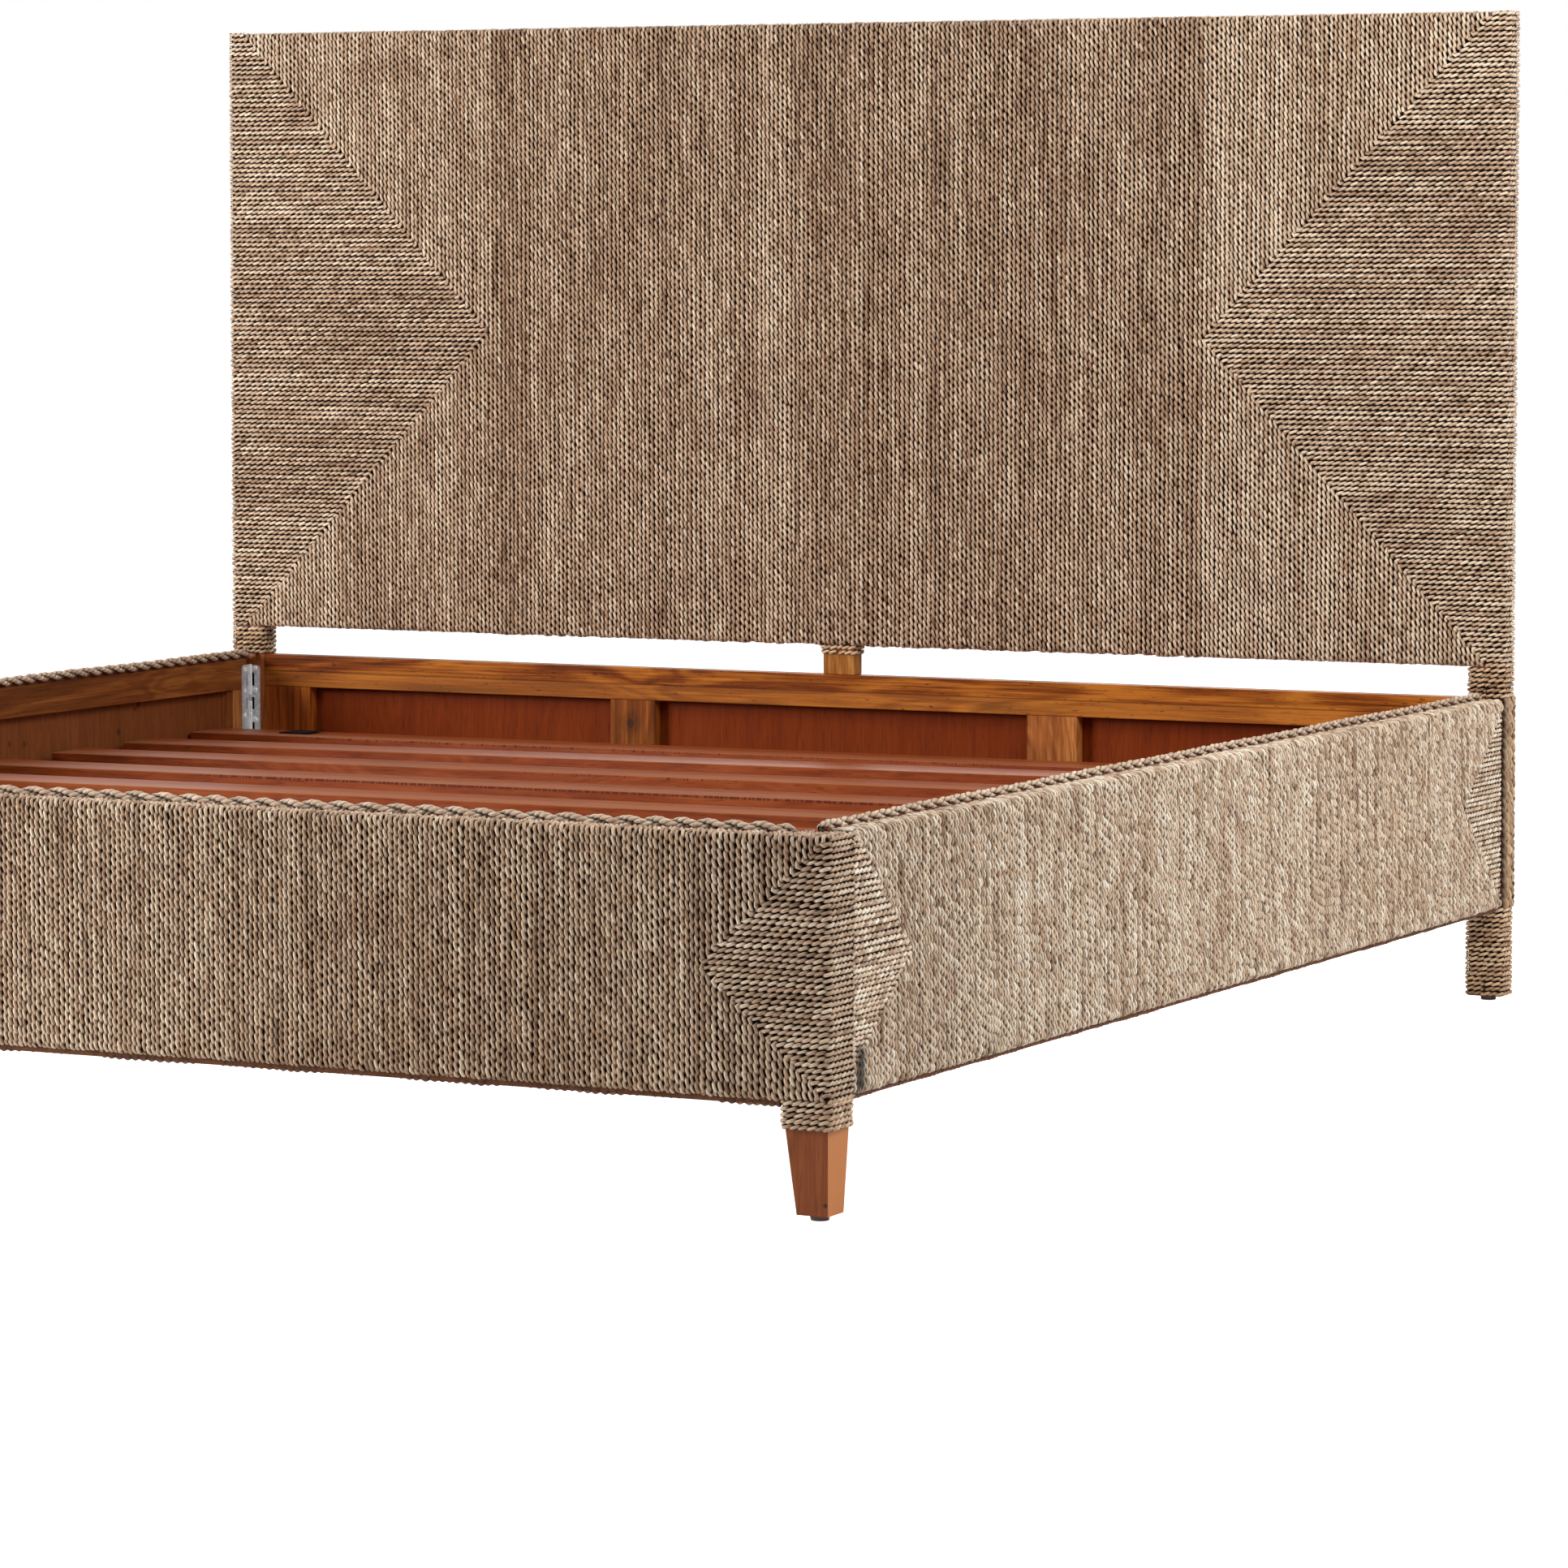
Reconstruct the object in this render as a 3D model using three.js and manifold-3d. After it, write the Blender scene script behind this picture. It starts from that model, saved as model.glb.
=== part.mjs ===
// Woven rush bed, king size, stood on the floor.
// Millimetres, +Z up, head end towards +Y, origin under the middle of the bed.
import * as THREE from 'three';
import Module from 'manifold-3d';
import { mergeVertices } from 'three/addons/utils/BufferGeometryUtils.js';

const wasm = await Module();
wasm.setup();

// ---- driving dimensions -------------------------------------------------
const WIDTH = 2030;            // outside to outside, over the rush
const HEAD_FRONT = 1013;       // front face of the wrapped headboard
const HEAD_BACK = 1060;        // back face
const FOOT_FRONT = -1060;      // front face of the footboard
const HEAD_TOP = 1345;         // top of the headboard
const ROPE = 6.5;              // thickness of one layer of rush cord
const GAP = 0.3;               // clearance between pieces that touch

const PANEL_LOW = 455.8;       // lower edge of the woven headboard panel
const POST_WRAP_TOP = 414;     // here the turns above the side rails start
const POST_WRAP_LOW = 128;     // here the turns round the foot of a post end
const HEAD_POST_X = 45;        // wood inside the wrap
const HEAD_POST_Y = 34;
const BARE_POST_X = 50;        // the unwrapped middle part is wider

const BEAM_LOW = 366.6;        // lower head frame
const BEAM_TOP = 414.9;
const MEMBER = 20;             // thickness of the frame members
const PLY = 6;
const HEAD_FRAME_Y = HEAD_FRONT + ROPE;   // bare wood starts one cord back

const RAIL_LOW = 128.4;        // side rails, over the rush
const RAIL_TOP = 413.9;
const RAIL_INNER = 982;        // inner wood face of a side rail
const RAIL_FOOT_END = -1000.6;
const RAIL_HEAD_END = 1006;

const FOOT_LOW = 126.3;        // footboard, over the rush
const FOOT_TOP = 411.7;
const FOOT_POST = 50;
const FOOT_WRAP = 59;          // wrapped depth of a foot post, to the seam
const LEG_END = 37;            // section at the floor end of the taper
const COLLAR_LOW = 97.5;
const COLLAR_TOP = 124.5;

const CORD_R = 6.5;            // twisted edging cord
const CORD_IN = 36;            // its middle, measured in from the outer face

const GLIDE_H = 6;
const GLIDE_R = 11;

const SLAT_W = 89;
const SLAT_T = 20;
const SLAT_TOP = 306;
const LEDGER_TOP = SLAT_TOP - SLAT_T - GAP;
// middle of each slat [x, y], turn in degrees, length; laid in loosely
const SLATS = [
  [-17, 940, 1.6, 1960], [-9, 778, 3.86, 1960], [-2, 563, 2.6, 1960], [0, 345, 1.75, 1960],
  [-3, 137.3, 1.2, 1960], [1, -76, 0.5, 1960], [0, -288, -0.6, 1960], [-1, -502, 0.3, 1960],
  [0, -710, 0.8, 1960], [0, -917, 0, 1960],
];

// ---- materials ----------------------------------------------------------
const mat = (color, roughness, metalness = 0) =>
  () => new THREE.MeshStandardMaterial({ color, roughness, metalness });
const RUSH = mat(0xb48e62, 0.85);
const CORD = mat(0xa98a63, 0.85);
const TEAK = mat(0xa5673a, 0.6);
const POSTWOOD = mat(0x8d4a2c, 0.6);
const SLATWOOD = mat(0x9c6446, 0.55);
const BOARD = mat(0x7d4a30, 0.65);
const ZINC = mat(0xb9bcc0, 0.35, 0.9);
const STEEL = mat(0x77797c, 0.4, 0.9);
const GLIDE = mat(0x4a4340, 0.6);

const bed = new THREE.Group();
bed.name = 'woven_rush_bed';

function add(name, geometry, material) {
  geometry.computeVertexNormals();
  const mesh = new THREE.Mesh(geometry, material());
  mesh.name = name;
  bed.add(mesh);
  return mesh;
}

// board with all edges eased by c
function easedBox(x0, x1, y0, y1, z0, z1, c) {
  const m = [(x0 + x1) / 2, (y0 + y1) / 2, (z0 + z1) / 2];
  const h = [(x1 - x0) / 2, (y1 - y0) / 2, (z1 - z0) / 2];
  const pos = [];
  const id = {};
  const key = (s, a) => `${s[0]},${s[1]},${s[2]},${a}`;
  for (const sx of [-1, 1]) for (const sy of [-1, 1]) for (const sz of [-1, 1]) {
    const s = [sx, sy, sz];
    for (let a = 0; a < 3; a++) {
      id[key(s, a)] = pos.length / 3;
      for (let k = 0; k < 3; k++) pos.push(m[k] + s[k] * (k === a ? h[k] : h[k] - c));
    }
  }
  const idx = [];
  const centre = new THREE.Vector3(...m);
  const v = (i) => new THREE.Vector3(pos[3 * i], pos[3 * i + 1], pos[3 * i + 2]);
  function tri(a, b, d) {
    const A = v(a), B = v(b), D = v(d);
    const n = new THREE.Vector3().crossVectors(B.clone().sub(A), D.clone().sub(A));
    const out = A.clone().add(B).add(D).divideScalar(3).sub(centre);
    if (n.dot(out) > 0) idx.push(a, b, d); else idx.push(a, d, b);
  }
  function quad(a, b, d, e) { tri(a, b, d); tri(a, d, e); }
  for (let a = 0; a < 3; a++) {
    const b = (a + 1) % 3, d = (a + 2) % 3;
    for (const s of [-1, 1]) {
      const at = (p, q) => { const t = [0, 0, 0]; t[a] = s; t[b] = p; t[d] = q; return id[key(t, a)]; };
      quad(at(-1, -1), at(1, -1), at(1, 1), at(-1, 1));
    }
    // edges that run along axis a
    for (const p of [-1, 1]) for (const q of [-1, 1]) {
      const at = (s, face) => { const t = [0, 0, 0]; t[a] = s; t[b] = p; t[d] = q; return id[key(t, face)]; };
      quad(at(-1, b), at(1, b), at(1, d), at(-1, d));
    }
  }
  for (const sx of [-1, 1]) for (const sy of [-1, 1]) for (const sz of [-1, 1]) {
    const s = [sx, sy, sz];
    tri(id[key(s, 0)], id[key(s, 1)], id[key(s, 2)]);
  }
  const g = new THREE.BufferGeometry();
  g.setAttribute('position', new THREE.Float32BufferAttribute(pos, 3));
  g.setIndex(idx);
  return g;
}

// closed solid between two four-sided sections [x, y] at heights z0 and z1
function prismoid(low, high, z0, z1) {
  const pos = [];
  for (const [x, y] of low) pos.push(x, y, z0);
  for (const [x, y] of high) pos.push(x, y, z1);
  const idx = [0, 2, 1, 0, 3, 2, 4, 5, 6, 4, 6, 7];
  for (let i = 0; i < 4; i++) {
    const j = (i + 1) % 4;
    idx.push(i, j, 4 + j, i, 4 + j, 4 + i);
  }
  const g = new THREE.BufferGeometry();
  g.setAttribute('position', new THREE.Float32BufferAttribute(pos, 3));
  g.setIndex(idx);
  return g;
}

function toSolid(geometry) {
  const g = geometry.clone();
  g.deleteAttribute('normal');
  g.deleteAttribute('uv');
  const m = mergeVertices(g, 1e-4);
  return new wasm.Manifold(new wasm.Mesh({
    numProp: 3,
    vertProperties: new Float32Array(m.attributes.position.array),
    triVerts: new Uint32Array(m.index.array),
  }));
}

function fromSolid(solid) {
  const mesh = solid.getMesh();
  const g = new THREE.BufferGeometry();
  g.setAttribute('position', new THREE.Float32BufferAttribute(Array.from(mesh.vertProperties), 3));
  g.setIndex(Array.from(mesh.triVerts));
  return g;
}

function box(x0, x1, y0, y1, z0, z1) {
  const g = new THREE.BoxGeometry(Math.abs(x1 - x0), Math.abs(y1 - y0), Math.abs(z1 - z0));
  g.translate((x0 + x1) / 2, (y0 + y1) / 2, (z0 + z1) / 2);
  return g;
}
const sbox = (...a) => toSolid(box(...a));
// x range on one side of the bed; side is -1 (left) or 1 (right)
const sx = (side, a, b) => (side < 0 ? [-Math.max(a, b), -Math.min(a, b)] : [Math.min(a, b), Math.max(a, b)]);
const SIDES = [['left', -1], ['right', 1]];
const HALF = WIDTH / 2;
const POST_OUT = HALF - ROPE;                 // outer wood face of every post
const HEAD_POST_IN = POST_OUT - HEAD_POST_X;
const BARE_POST_IN = POST_OUT - BARE_POST_X;

// ---- head end -----------------------------------------------------------
for (const [tag, s] of SIDES) {
  const yA = HEAD_FRAME_Y, yB = HEAD_FRAME_Y + HEAD_POST_Y;
  const slim = sx(s, HEAD_POST_IN, POST_OUT);
  const wide = sx(s, BARE_POST_IN, POST_OUT);
  // one post: slim inside the wraps, full width where it is left bare
  const post = sbox(...slim, yA, yB, GLIDE_H + 0.2, HEAD_TOP - ROPE)
    .add(sbox(...wide, yA, yB, POST_WRAP_LOW + GAP, POST_WRAP_TOP - GAP));
  add(`head_post_${tag}`, fromSolid(post), POSTWOOD);

  // rush round the post: turns above, cords down the side and back, turns below
  const outer = sx(s, HALF - 58, HALF);
  const sleeve = (z0, z1) => sbox(...outer, HEAD_FRONT, HEAD_BACK, z0, z1)
    .subtract(sbox(...sx(s, HEAD_POST_IN - GAP, POST_OUT + GAP), yA - GAP, yB + GAP, z0 - 1, z1 + 1));
  const side = sbox(...sx(s, POST_OUT + GAP, HALF), yA, HEAD_BACK, POST_WRAP_LOW - 1, POST_WRAP_TOP + 1);
  const back = sbox(...sx(s, BARE_POST_IN + 2, HALF), yB + GAP, HEAD_BACK, POST_WRAP_LOW - 1, POST_WRAP_TOP + 1);
  const wrap = sleeve(POST_WRAP_TOP, PANEL_LOW - GAP).add(sleeve(GLIDE_H + 0.6, POST_WRAP_LOW)).add(side).add(back);
  add(`head_post_wrap_${tag}`, fromSolid(wrap), RUSH);
}
const HY0 = HEAD_FRAME_Y, HY1 = HEAD_FRAME_Y + HEAD_POST_Y;
const HX = HEAD_POST_IN - GAP;
add('head_top_rail', easedBox(-HX, HX, HY0, HY1, HEAD_TOP - ROPE - 48, HEAD_TOP - ROPE, 1), TEAK);
add('head_panel_rail', easedBox(-HX, HX, HY0, HY1, PANEL_LOW + ROPE + GAP, PANEL_LOW + ROPE + 50, 1), TEAK);
add('head_core_board', easedBox(-HX, HX, HY0 + 11, HY1 - 11, PANEL_LOW + ROPE + 50 + GAP,
  HEAD_TOP - ROPE - 48 - GAP, 0.8), BOARD);
{
  // rush wound round the whole panel, open where the posts leave it
  let cover = sbox(-HALF, HALF, HEAD_FRONT, HEAD_BACK, PANEL_LOW, HEAD_TOP);
  cover = cover.subtract(sbox(-POST_OUT - GAP, POST_OUT + GAP, HY0 - GAP, HY1 + GAP,
    PANEL_LOW + ROPE, HEAD_TOP - ROPE + GAP));
  for (const [, s] of SIDES) {
    cover = cover.subtract(sbox(...sx(s, HEAD_POST_IN - GAP, POST_OUT + GAP), HY0 - GAP, HY1 + GAP,
      PANEL_LOW - 1, PANEL_LOW + ROPE + 1));
  }
  add('head_rope_cover', fromSolid(cover), RUSH);
}
// lower frame of the head end, bare wood with a board behind it
const FX = BARE_POST_IN - GAP;
const MY0 = HEAD_FRAME_Y, MY1 = HEAD_FRAME_Y + MEMBER;
add('head_lower_beam', easedBox(-FX, FX, MY0, MY1, BEAM_LOW, BEAM_TOP - 1.2, 1), TEAK);
add('head_lower_bottom_rail', easedBox(-FX, FX, MY0, MY1, POST_WRAP_LOW, POST_WRAP_LOW + 48, 1), TEAK);
const STILES = [['head_stile_left', -FX, -879.2], ['head_stile_mid_left', -367.6, -294.7],
  ['head_stile_mid_right', 300.1, 377.4], ['head_stile_right', 879.2, FX]];
for (const [n, a, b] of STILES) {
  add(n, easedBox(a, b, MY0, MY1, POST_WRAP_LOW + 48 + GAP, BEAM_LOW - GAP, 0.8), TEAK);
}
add('head_lower_ply', easedBox(-FX, FX, MY1 + GAP, MY1 + GAP + PLY, POST_WRAP_LOW, BEAM_TOP - 1.2, 0.5), BOARD);
add('head_center_strut', easedBox(-20.4, 28.8, MY0, MY0 + 25.7, BEAM_TOP - 0.9, PANEL_LOW - GAP, 1), TEAK);

// ---- foot end -----------------------------------------------------------
const F0 = FOOT_FRONT;
const FPY0 = F0 + ROPE, FPY1 = F0 + ROPE + FOOT_POST;
const FOOT_IN = POST_OUT - FOOT_POST;
for (const [tag, s] of SIDES) {
  const [xa, xb] = sx(s, FOOT_IN, POST_OUT);
  const slope = COLLAR_LOW - 1;
  const full = [[xa, FPY0], [xb, FPY0], [xb, FPY1], [xa, FPY1]];
  const [ta, tb] = sx(s, POST_OUT - LEG_END, POST_OUT);
  const small = [[ta, FPY0], [tb, FPY0], [tb, FPY0 + LEG_END + 1], [ta, FPY0 + LEG_END + 1]];
  const foot = sbox(xa, xb, FPY0, FPY1, slope, FOOT_TOP - ROPE)
    .add(toSolid(prismoid(small, full, GLIDE_H + 0.5, slope)));
  add(`foot_post_${tag}`, fromSolid(foot), POSTWOOD);
  const [ca, cb] = sx(s, FOOT_IN - ROPE, HALF);
  const collar = sbox(ca, cb, F0, FPY1 + ROPE, COLLAR_LOW, COLLAR_TOP)
    .subtract(sbox(xa - GAP, xb + GAP, FPY0 - GAP, FPY1 + GAP, COLLAR_LOW - 1, COLLAR_TOP + 1));
  add(`foot_collar_${tag}`, fromSolid(collar), RUSH);
}
const PX = FOOT_IN - GAP;
const FM1 = F0 + ROPE + PLY + 2 * GAP + MEMBER;       // inner wood face of the footboard
add('foot_top_rail', easedBox(-PX, PX, FM1 - MEMBER, FM1, FOOT_TOP - ROPE - 45, FOOT_TOP - ROPE, 1), TEAK);
add('foot_bottom_rail', easedBox(-PX, PX, FM1 - MEMBER, FM1, FOOT_LOW + ROPE + GAP, FOOT_LOW + ROPE + 45, 1), TEAK);
add('foot_ply', easedBox(-PX, PX, F0 + ROPE + GAP, F0 + ROPE + GAP + PLY - 0.3, FOOT_LOW + ROPE + GAP,
  FOOT_TOP - ROPE, 0.5), BOARD);
{
  const t = ROPE - GAP;                                // layer with clearance to the wood
  const yEnd = F0 + FOOT_WRAP;
  const yTop = F0 + CORD_IN - CORD_R - GAP;
  let c = sbox(-HALF, HALF, F0, F0 + t, FOOT_LOW, FOOT_TOP);
  c = c.add(sbox(-FOOT_IN, FOOT_IN, F0, yTop, FOOT_TOP - t, FOOT_TOP));
  c = c.add(sbox(-FOOT_IN + 1, FOOT_IN - 1, F0, FM1, FOOT_LOW, FOOT_LOW + t));
  for (const [, s] of SIDES) {
    c = c.add(sbox(...sx(s, HALF - t, HALF), F0, yEnd, FOOT_LOW, FOOT_TOP));
    c = c.add(sbox(...sx(s, FOOT_IN - 3, HALF), F0, yEnd, FOOT_TOP - t, FOOT_TOP));
  }
  add('foot_rope_cover', fromSolid(c), RUSH);
}
function cordX(x0, x1, y, z) {
  const g = new THREE.CylinderGeometry(CORD_R, CORD_R, x1 - x0, 12);
  g.rotateZ(Math.PI / 2);
  g.translate((x0 + x1) / 2, y, z);
  return g;
}
function cordY(y0, y1, x, z) {
  const g = new THREE.CylinderGeometry(CORD_R, CORD_R, y1 - y0, 12);
  g.translate(x, (y0 + y1) / 2, z);
  return g;
}
const CORD_LIFT = 1.2;
add('foot_top_braid', cordX(-FOOT_IN + 4, FOOT_IN - 4, F0 + CORD_IN, FOOT_TOP + CORD_LIFT), CORD);

// ---- side rails ---------------------------------------------------------
for (const [tag, s] of SIDES) {
  const y0 = RAIL_FOOT_END, y1 = RAIL_HEAD_END;
  const mem = sx(s, RAIL_INNER, RAIL_INNER + MEMBER);
  const zt = RAIL_TOP - ROPE, zb = RAIL_LOW + ROPE;
  add(`rail_${tag}_top`, easedBox(...mem, y0 + GAP, y1 - GAP, zt - 45.5, zt, 1), TEAK);
  add(`rail_${tag}_bottom`, easedBox(...mem, y0 + GAP, y1 - GAP, zb, zb + 45.5, 1), TEAK);
  add(`rail_${tag}_head_stile`, easedBox(...mem, y1 - 38, y1 - GAP, zb + 45.5 + GAP, zt - 45.5 - GAP, 0.8), TEAK);
  add(`rail_${tag}_ply`, easedBox(...sx(s, RAIL_INNER + MEMBER + GAP, POST_OUT - GAP), y0 + GAP, y1 - GAP, zb, zt, 0.5), BOARD);
  const t = ROPE - GAP;
  const xIn = HALF - CORD_IN + CORD_R + GAP;
  const c = sbox(...sx(s, HALF - t, HALF), y0, y1, RAIL_LOW, RAIL_TOP)
    .add(sbox(...sx(s, xIn, HALF), y0, y1, RAIL_TOP - t, RAIL_TOP))
    .add(sbox(...sx(s, xIn, HALF), y0, y1, RAIL_LOW, RAIL_LOW + t));
  add(`rail_${tag}_rope`, fromSolid(c), RUSH);
  add(`rail_${tag}_braid`, cordY(y0, y1 + 4, s * (HALF - CORD_IN), RAIL_TOP + CORD_LIFT), CORD);
  add(`slat_ledger_${tag}`, easedBox(...sx(s, RAIL_INNER - 26, RAIL_INNER + MEMBER), y0 + 4, y1 - 38 - GAP,
    LEDGER_TOP - 28, LEDGER_TOP, 0.8), TEAK);
}

// ---- corner brackets, hook plates of pressed zinc-plated steel -----------
const BR_TOP = 397, BR_LOW = 285, BR_T = 2.5;
for (const [tag, s] of SIDES) {
  // head: one plate on the post front, one on the inner face of the rail
  let b = sbox(...sx(s, 966, 982.2), HEAD_FRAME_Y - GAP - BR_T, HEAD_FRAME_Y - GAP, BR_LOW, BR_TOP);
  b = b.add(sbox(...sx(s, RAIL_INNER - GAP - BR_T, RAIL_INNER - GAP), 990, HEAD_FRAME_Y - GAP, BR_LOW, BR_TOP));
  add(`bracket_head_${tag}`, fromSolid(b), ZINC);
  // foot: one plate on the back of the post, one on the rail
  let f = sbox(...sx(s, 964, RAIL_INNER - GAP), FPY1 + GAP, FPY1 + GAP + BR_T - 0.3, BR_LOW, BR_TOP);
  f = f.add(sbox(...sx(s, RAIL_INNER - GAP - BR_T, RAIL_INNER - GAP), FPY1 + GAP, -968, BR_LOW + 2, BR_TOP));
  add(`bracket_foot_${tag}`, fromSolid(f), ZINC);
}

// ---- centre support -----------------------------------------------------
const BEAM_W = 60, BEAM_H = 90, LEG_LOW = 20;
add('center_beam', easedBox(-BEAM_W / 2, BEAM_W / 2, F0 + ROPE + PLY + 2 * GAP + 1, MY1 - 1,
  LEDGER_TOP - BEAM_H, LEDGER_TOP, 1.5), TEAK);
{
  const leg = toSolid(easedBox(-22, 22, -22, 22, LEG_LOW, LEDGER_TOP - BEAM_H - GAP, 1.5));
  const hole = new THREE.CylinderGeometry(4.08, 4.08, 45, 24);
  hole.rotateX(Math.PI / 2);
  hole.translate(0, 0, LEG_LOW + 20.5);
  add('center_leg', fromSolid(leg.subtract(toSolid(hole))), TEAK);
  const pts = [[0, 0], [17, 0], [18, 1.5], [18, 4.5], [15, 7], [4, 8], [4, 46], [0, 46]]
    .map(([r, z]) => new THREE.Vector2(r, z));
  const lev = new THREE.LatheGeometry(pts, 24);
  lev.rotateX(Math.PI / 2);
  add('center_leveller', fromSolid(toSolid(lev)), STEEL);
}

// ---- glides -------------------------------------------------------------
function glide(x, y, h) {
  const g = new THREE.CylinderGeometry(GLIDE_R, GLIDE_R - 1.2, h, 16);
  g.rotateX(Math.PI / 2);
  g.translate(x, y, h / 2);
  return g;
}
for (const [tag, s] of SIDES) {
  add(`glide_head_${tag}`, glide(s * (POST_OUT - HEAD_POST_X / 2), HEAD_FRAME_Y + HEAD_POST_Y / 2, GLIDE_H), GLIDE);
  add(`glide_foot_${tag}`, glide(s * (POST_OUT - LEG_END / 2), FPY0 + LEG_END / 2, GLIDE_H), GLIDE);
}

// ---- slats --------------------------------------------------------------
SLATS.forEach(([x, y, turn, len], i) => {
  const g = easedBox(-len / 2, len / 2, -SLAT_W / 2, SLAT_W / 2, SLAT_TOP - SLAT_T, SLAT_TOP, 1.2);
  g.rotateZ(THREE.MathUtils.degToRad(turn));
  g.translate(x, y, 0);
  add(`slat_${String(i + 1).padStart(2, '0')}`, g, SLATWOOD);
});

export default bed;
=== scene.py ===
import math

import bpy
import numpy as np
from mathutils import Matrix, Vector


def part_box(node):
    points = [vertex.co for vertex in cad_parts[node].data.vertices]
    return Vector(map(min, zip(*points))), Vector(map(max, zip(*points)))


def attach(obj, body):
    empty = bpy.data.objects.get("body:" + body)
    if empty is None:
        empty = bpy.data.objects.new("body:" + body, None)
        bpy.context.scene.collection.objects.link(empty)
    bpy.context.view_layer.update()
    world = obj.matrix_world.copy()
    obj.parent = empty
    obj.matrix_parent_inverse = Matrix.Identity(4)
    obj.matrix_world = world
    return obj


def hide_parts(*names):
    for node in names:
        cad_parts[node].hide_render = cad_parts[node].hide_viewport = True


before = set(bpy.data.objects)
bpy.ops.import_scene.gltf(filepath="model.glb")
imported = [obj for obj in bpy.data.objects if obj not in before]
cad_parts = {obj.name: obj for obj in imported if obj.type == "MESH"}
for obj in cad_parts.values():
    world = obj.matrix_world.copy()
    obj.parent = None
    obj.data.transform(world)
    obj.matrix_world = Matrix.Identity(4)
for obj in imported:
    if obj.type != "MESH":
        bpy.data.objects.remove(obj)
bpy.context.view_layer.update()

scene = bpy.context.scene
rng = np.random.default_rng(20)
ROOT = "bedstead"
AMBIENT = 0.10           # soft light from all round
FLOOR_GLOW = 0.97
MM = 0.001

# ------------------------------------------------------------------ nodes
def nodes_of(mat):
    mat.use_nodes = True
    nt = mat.node_tree
    nt.nodes.clear()
    return nt


class Net:
    """Small helper round a shader node tree."""

    def __init__(self, name):
        self.mat = bpy.data.materials.new(name)
        self.nt = nodes_of(self.mat)
        self.out = self.nt.nodes.new("ShaderNodeOutputMaterial")
        self.bsdf = self.nt.nodes.new("ShaderNodeBsdfPrincipled")
        self.nt.links.new(self.bsdf.outputs[0], self.out.inputs[0])

    def put(self, value, sock):
        if hasattr(value, "is_linked") or hasattr(value, "links"):
            self.nt.links.new(value, sock)
        else:
            if hasattr(sock.default_value, "__len__"):
                v = list(value)
                if len(v) == 3 and len(sock.default_value) == 4:
                    v = v + [1.0]
                sock.default_value = v
            else:
                sock.default_value = value

    def node(self, kind, **props):
        n = self.nt.nodes.new(kind)
        for k, v in props.items():
            setattr(n, k, v)
        return n

    def math(self, op, a, b=None, c=None, clamp=False):
        n = self.node("ShaderNodeMath", operation=op, use_clamp=clamp)
        self.put(a, n.inputs[0])
        if b is not None:
            self.put(b, n.inputs[1])
        if c is not None:
            self.put(c, n.inputs[2])
        return n.outputs[0]

    def mix(self, f, a, b, kind="MIX"):
        n = self.node("ShaderNodeMix", data_type="RGBA", blend_type=kind)
        self.put(f, n.inputs[0])
        self.put(a, n.inputs[6])
        self.put(b, n.inputs[7])
        return n.outputs[2]

    def ramp(self, fac, stops, interp="LINEAR"):
        n = self.node("ShaderNodeValToRGB")
        n.color_ramp.interpolation = interp
        el = n.color_ramp.elements
        while len(el) < len(stops):
            el.new(0.5)
        for e, (p, c) in zip(el, stops):
            e.position = p
            e.color = list(c) + [1.0] if len(c) == 3 else list(c)
        self.put(fac, n.inputs[0])
        return n.outputs[0]

    def mapr(self, v, a, b, c, d, clamp=True):
        n = self.node("ShaderNodeMapRange", clamp=clamp)
        self.put(v, n.inputs[0])
        for i, x in enumerate((a, b, c, d)):
            self.put(x, n.inputs[i + 1])
        return n.outputs[0]

    def noise(self, vec, scale, detail=2.0, rough=0.5, dist=0.0, dims="3D"):
        n = self.node("ShaderNodeTexNoise", noise_dimensions=dims)
        self.put(vec, n.inputs["Vector"])
        self.put(scale, n.inputs["Scale"])
        self.put(detail, n.inputs["Detail"])
        self.put(rough, n.inputs["Roughness"])
        self.put(dist, n.inputs["Distortion"])
        return n.outputs[0]

    def coords(self, loc=(0, 0, 0), scale=(1, 1, 1), rot=(0, 0, 0), which="Object"):
        t = self.node("ShaderNodeTexCoord")
        m = self.node("ShaderNodeMapping")
        self.nt.links.new(t.outputs[which], m.inputs[0])
        self.put(loc, m.inputs["Location"])
        self.put(rot, m.inputs["Rotation"])
        self.put(scale, m.inputs["Scale"])
        return m.outputs[0]

    def bump(self, height, strength, distance):
        n = self.node("ShaderNodeBump")
        self.put(strength, n.inputs["Strength"])
        self.put(distance, n.inputs["Distance"])
        self.put(height, n.inputs["Height"])
        self.nt.links.new(n.outputs[0], self.bsdf.inputs["Normal"])
        return n

    def set(self, key, value):
        self.put(value, self.bsdf.inputs[key])


def c255(r, g, b):
    """sRGB 0-255 to linear."""
    def f(u):
        u /= 255.0
        return u / 12.92 if u <= 0.04045 else ((u + 0.055) / 1.055) ** 2.4
    return (f(r), f(g), f(b))


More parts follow.
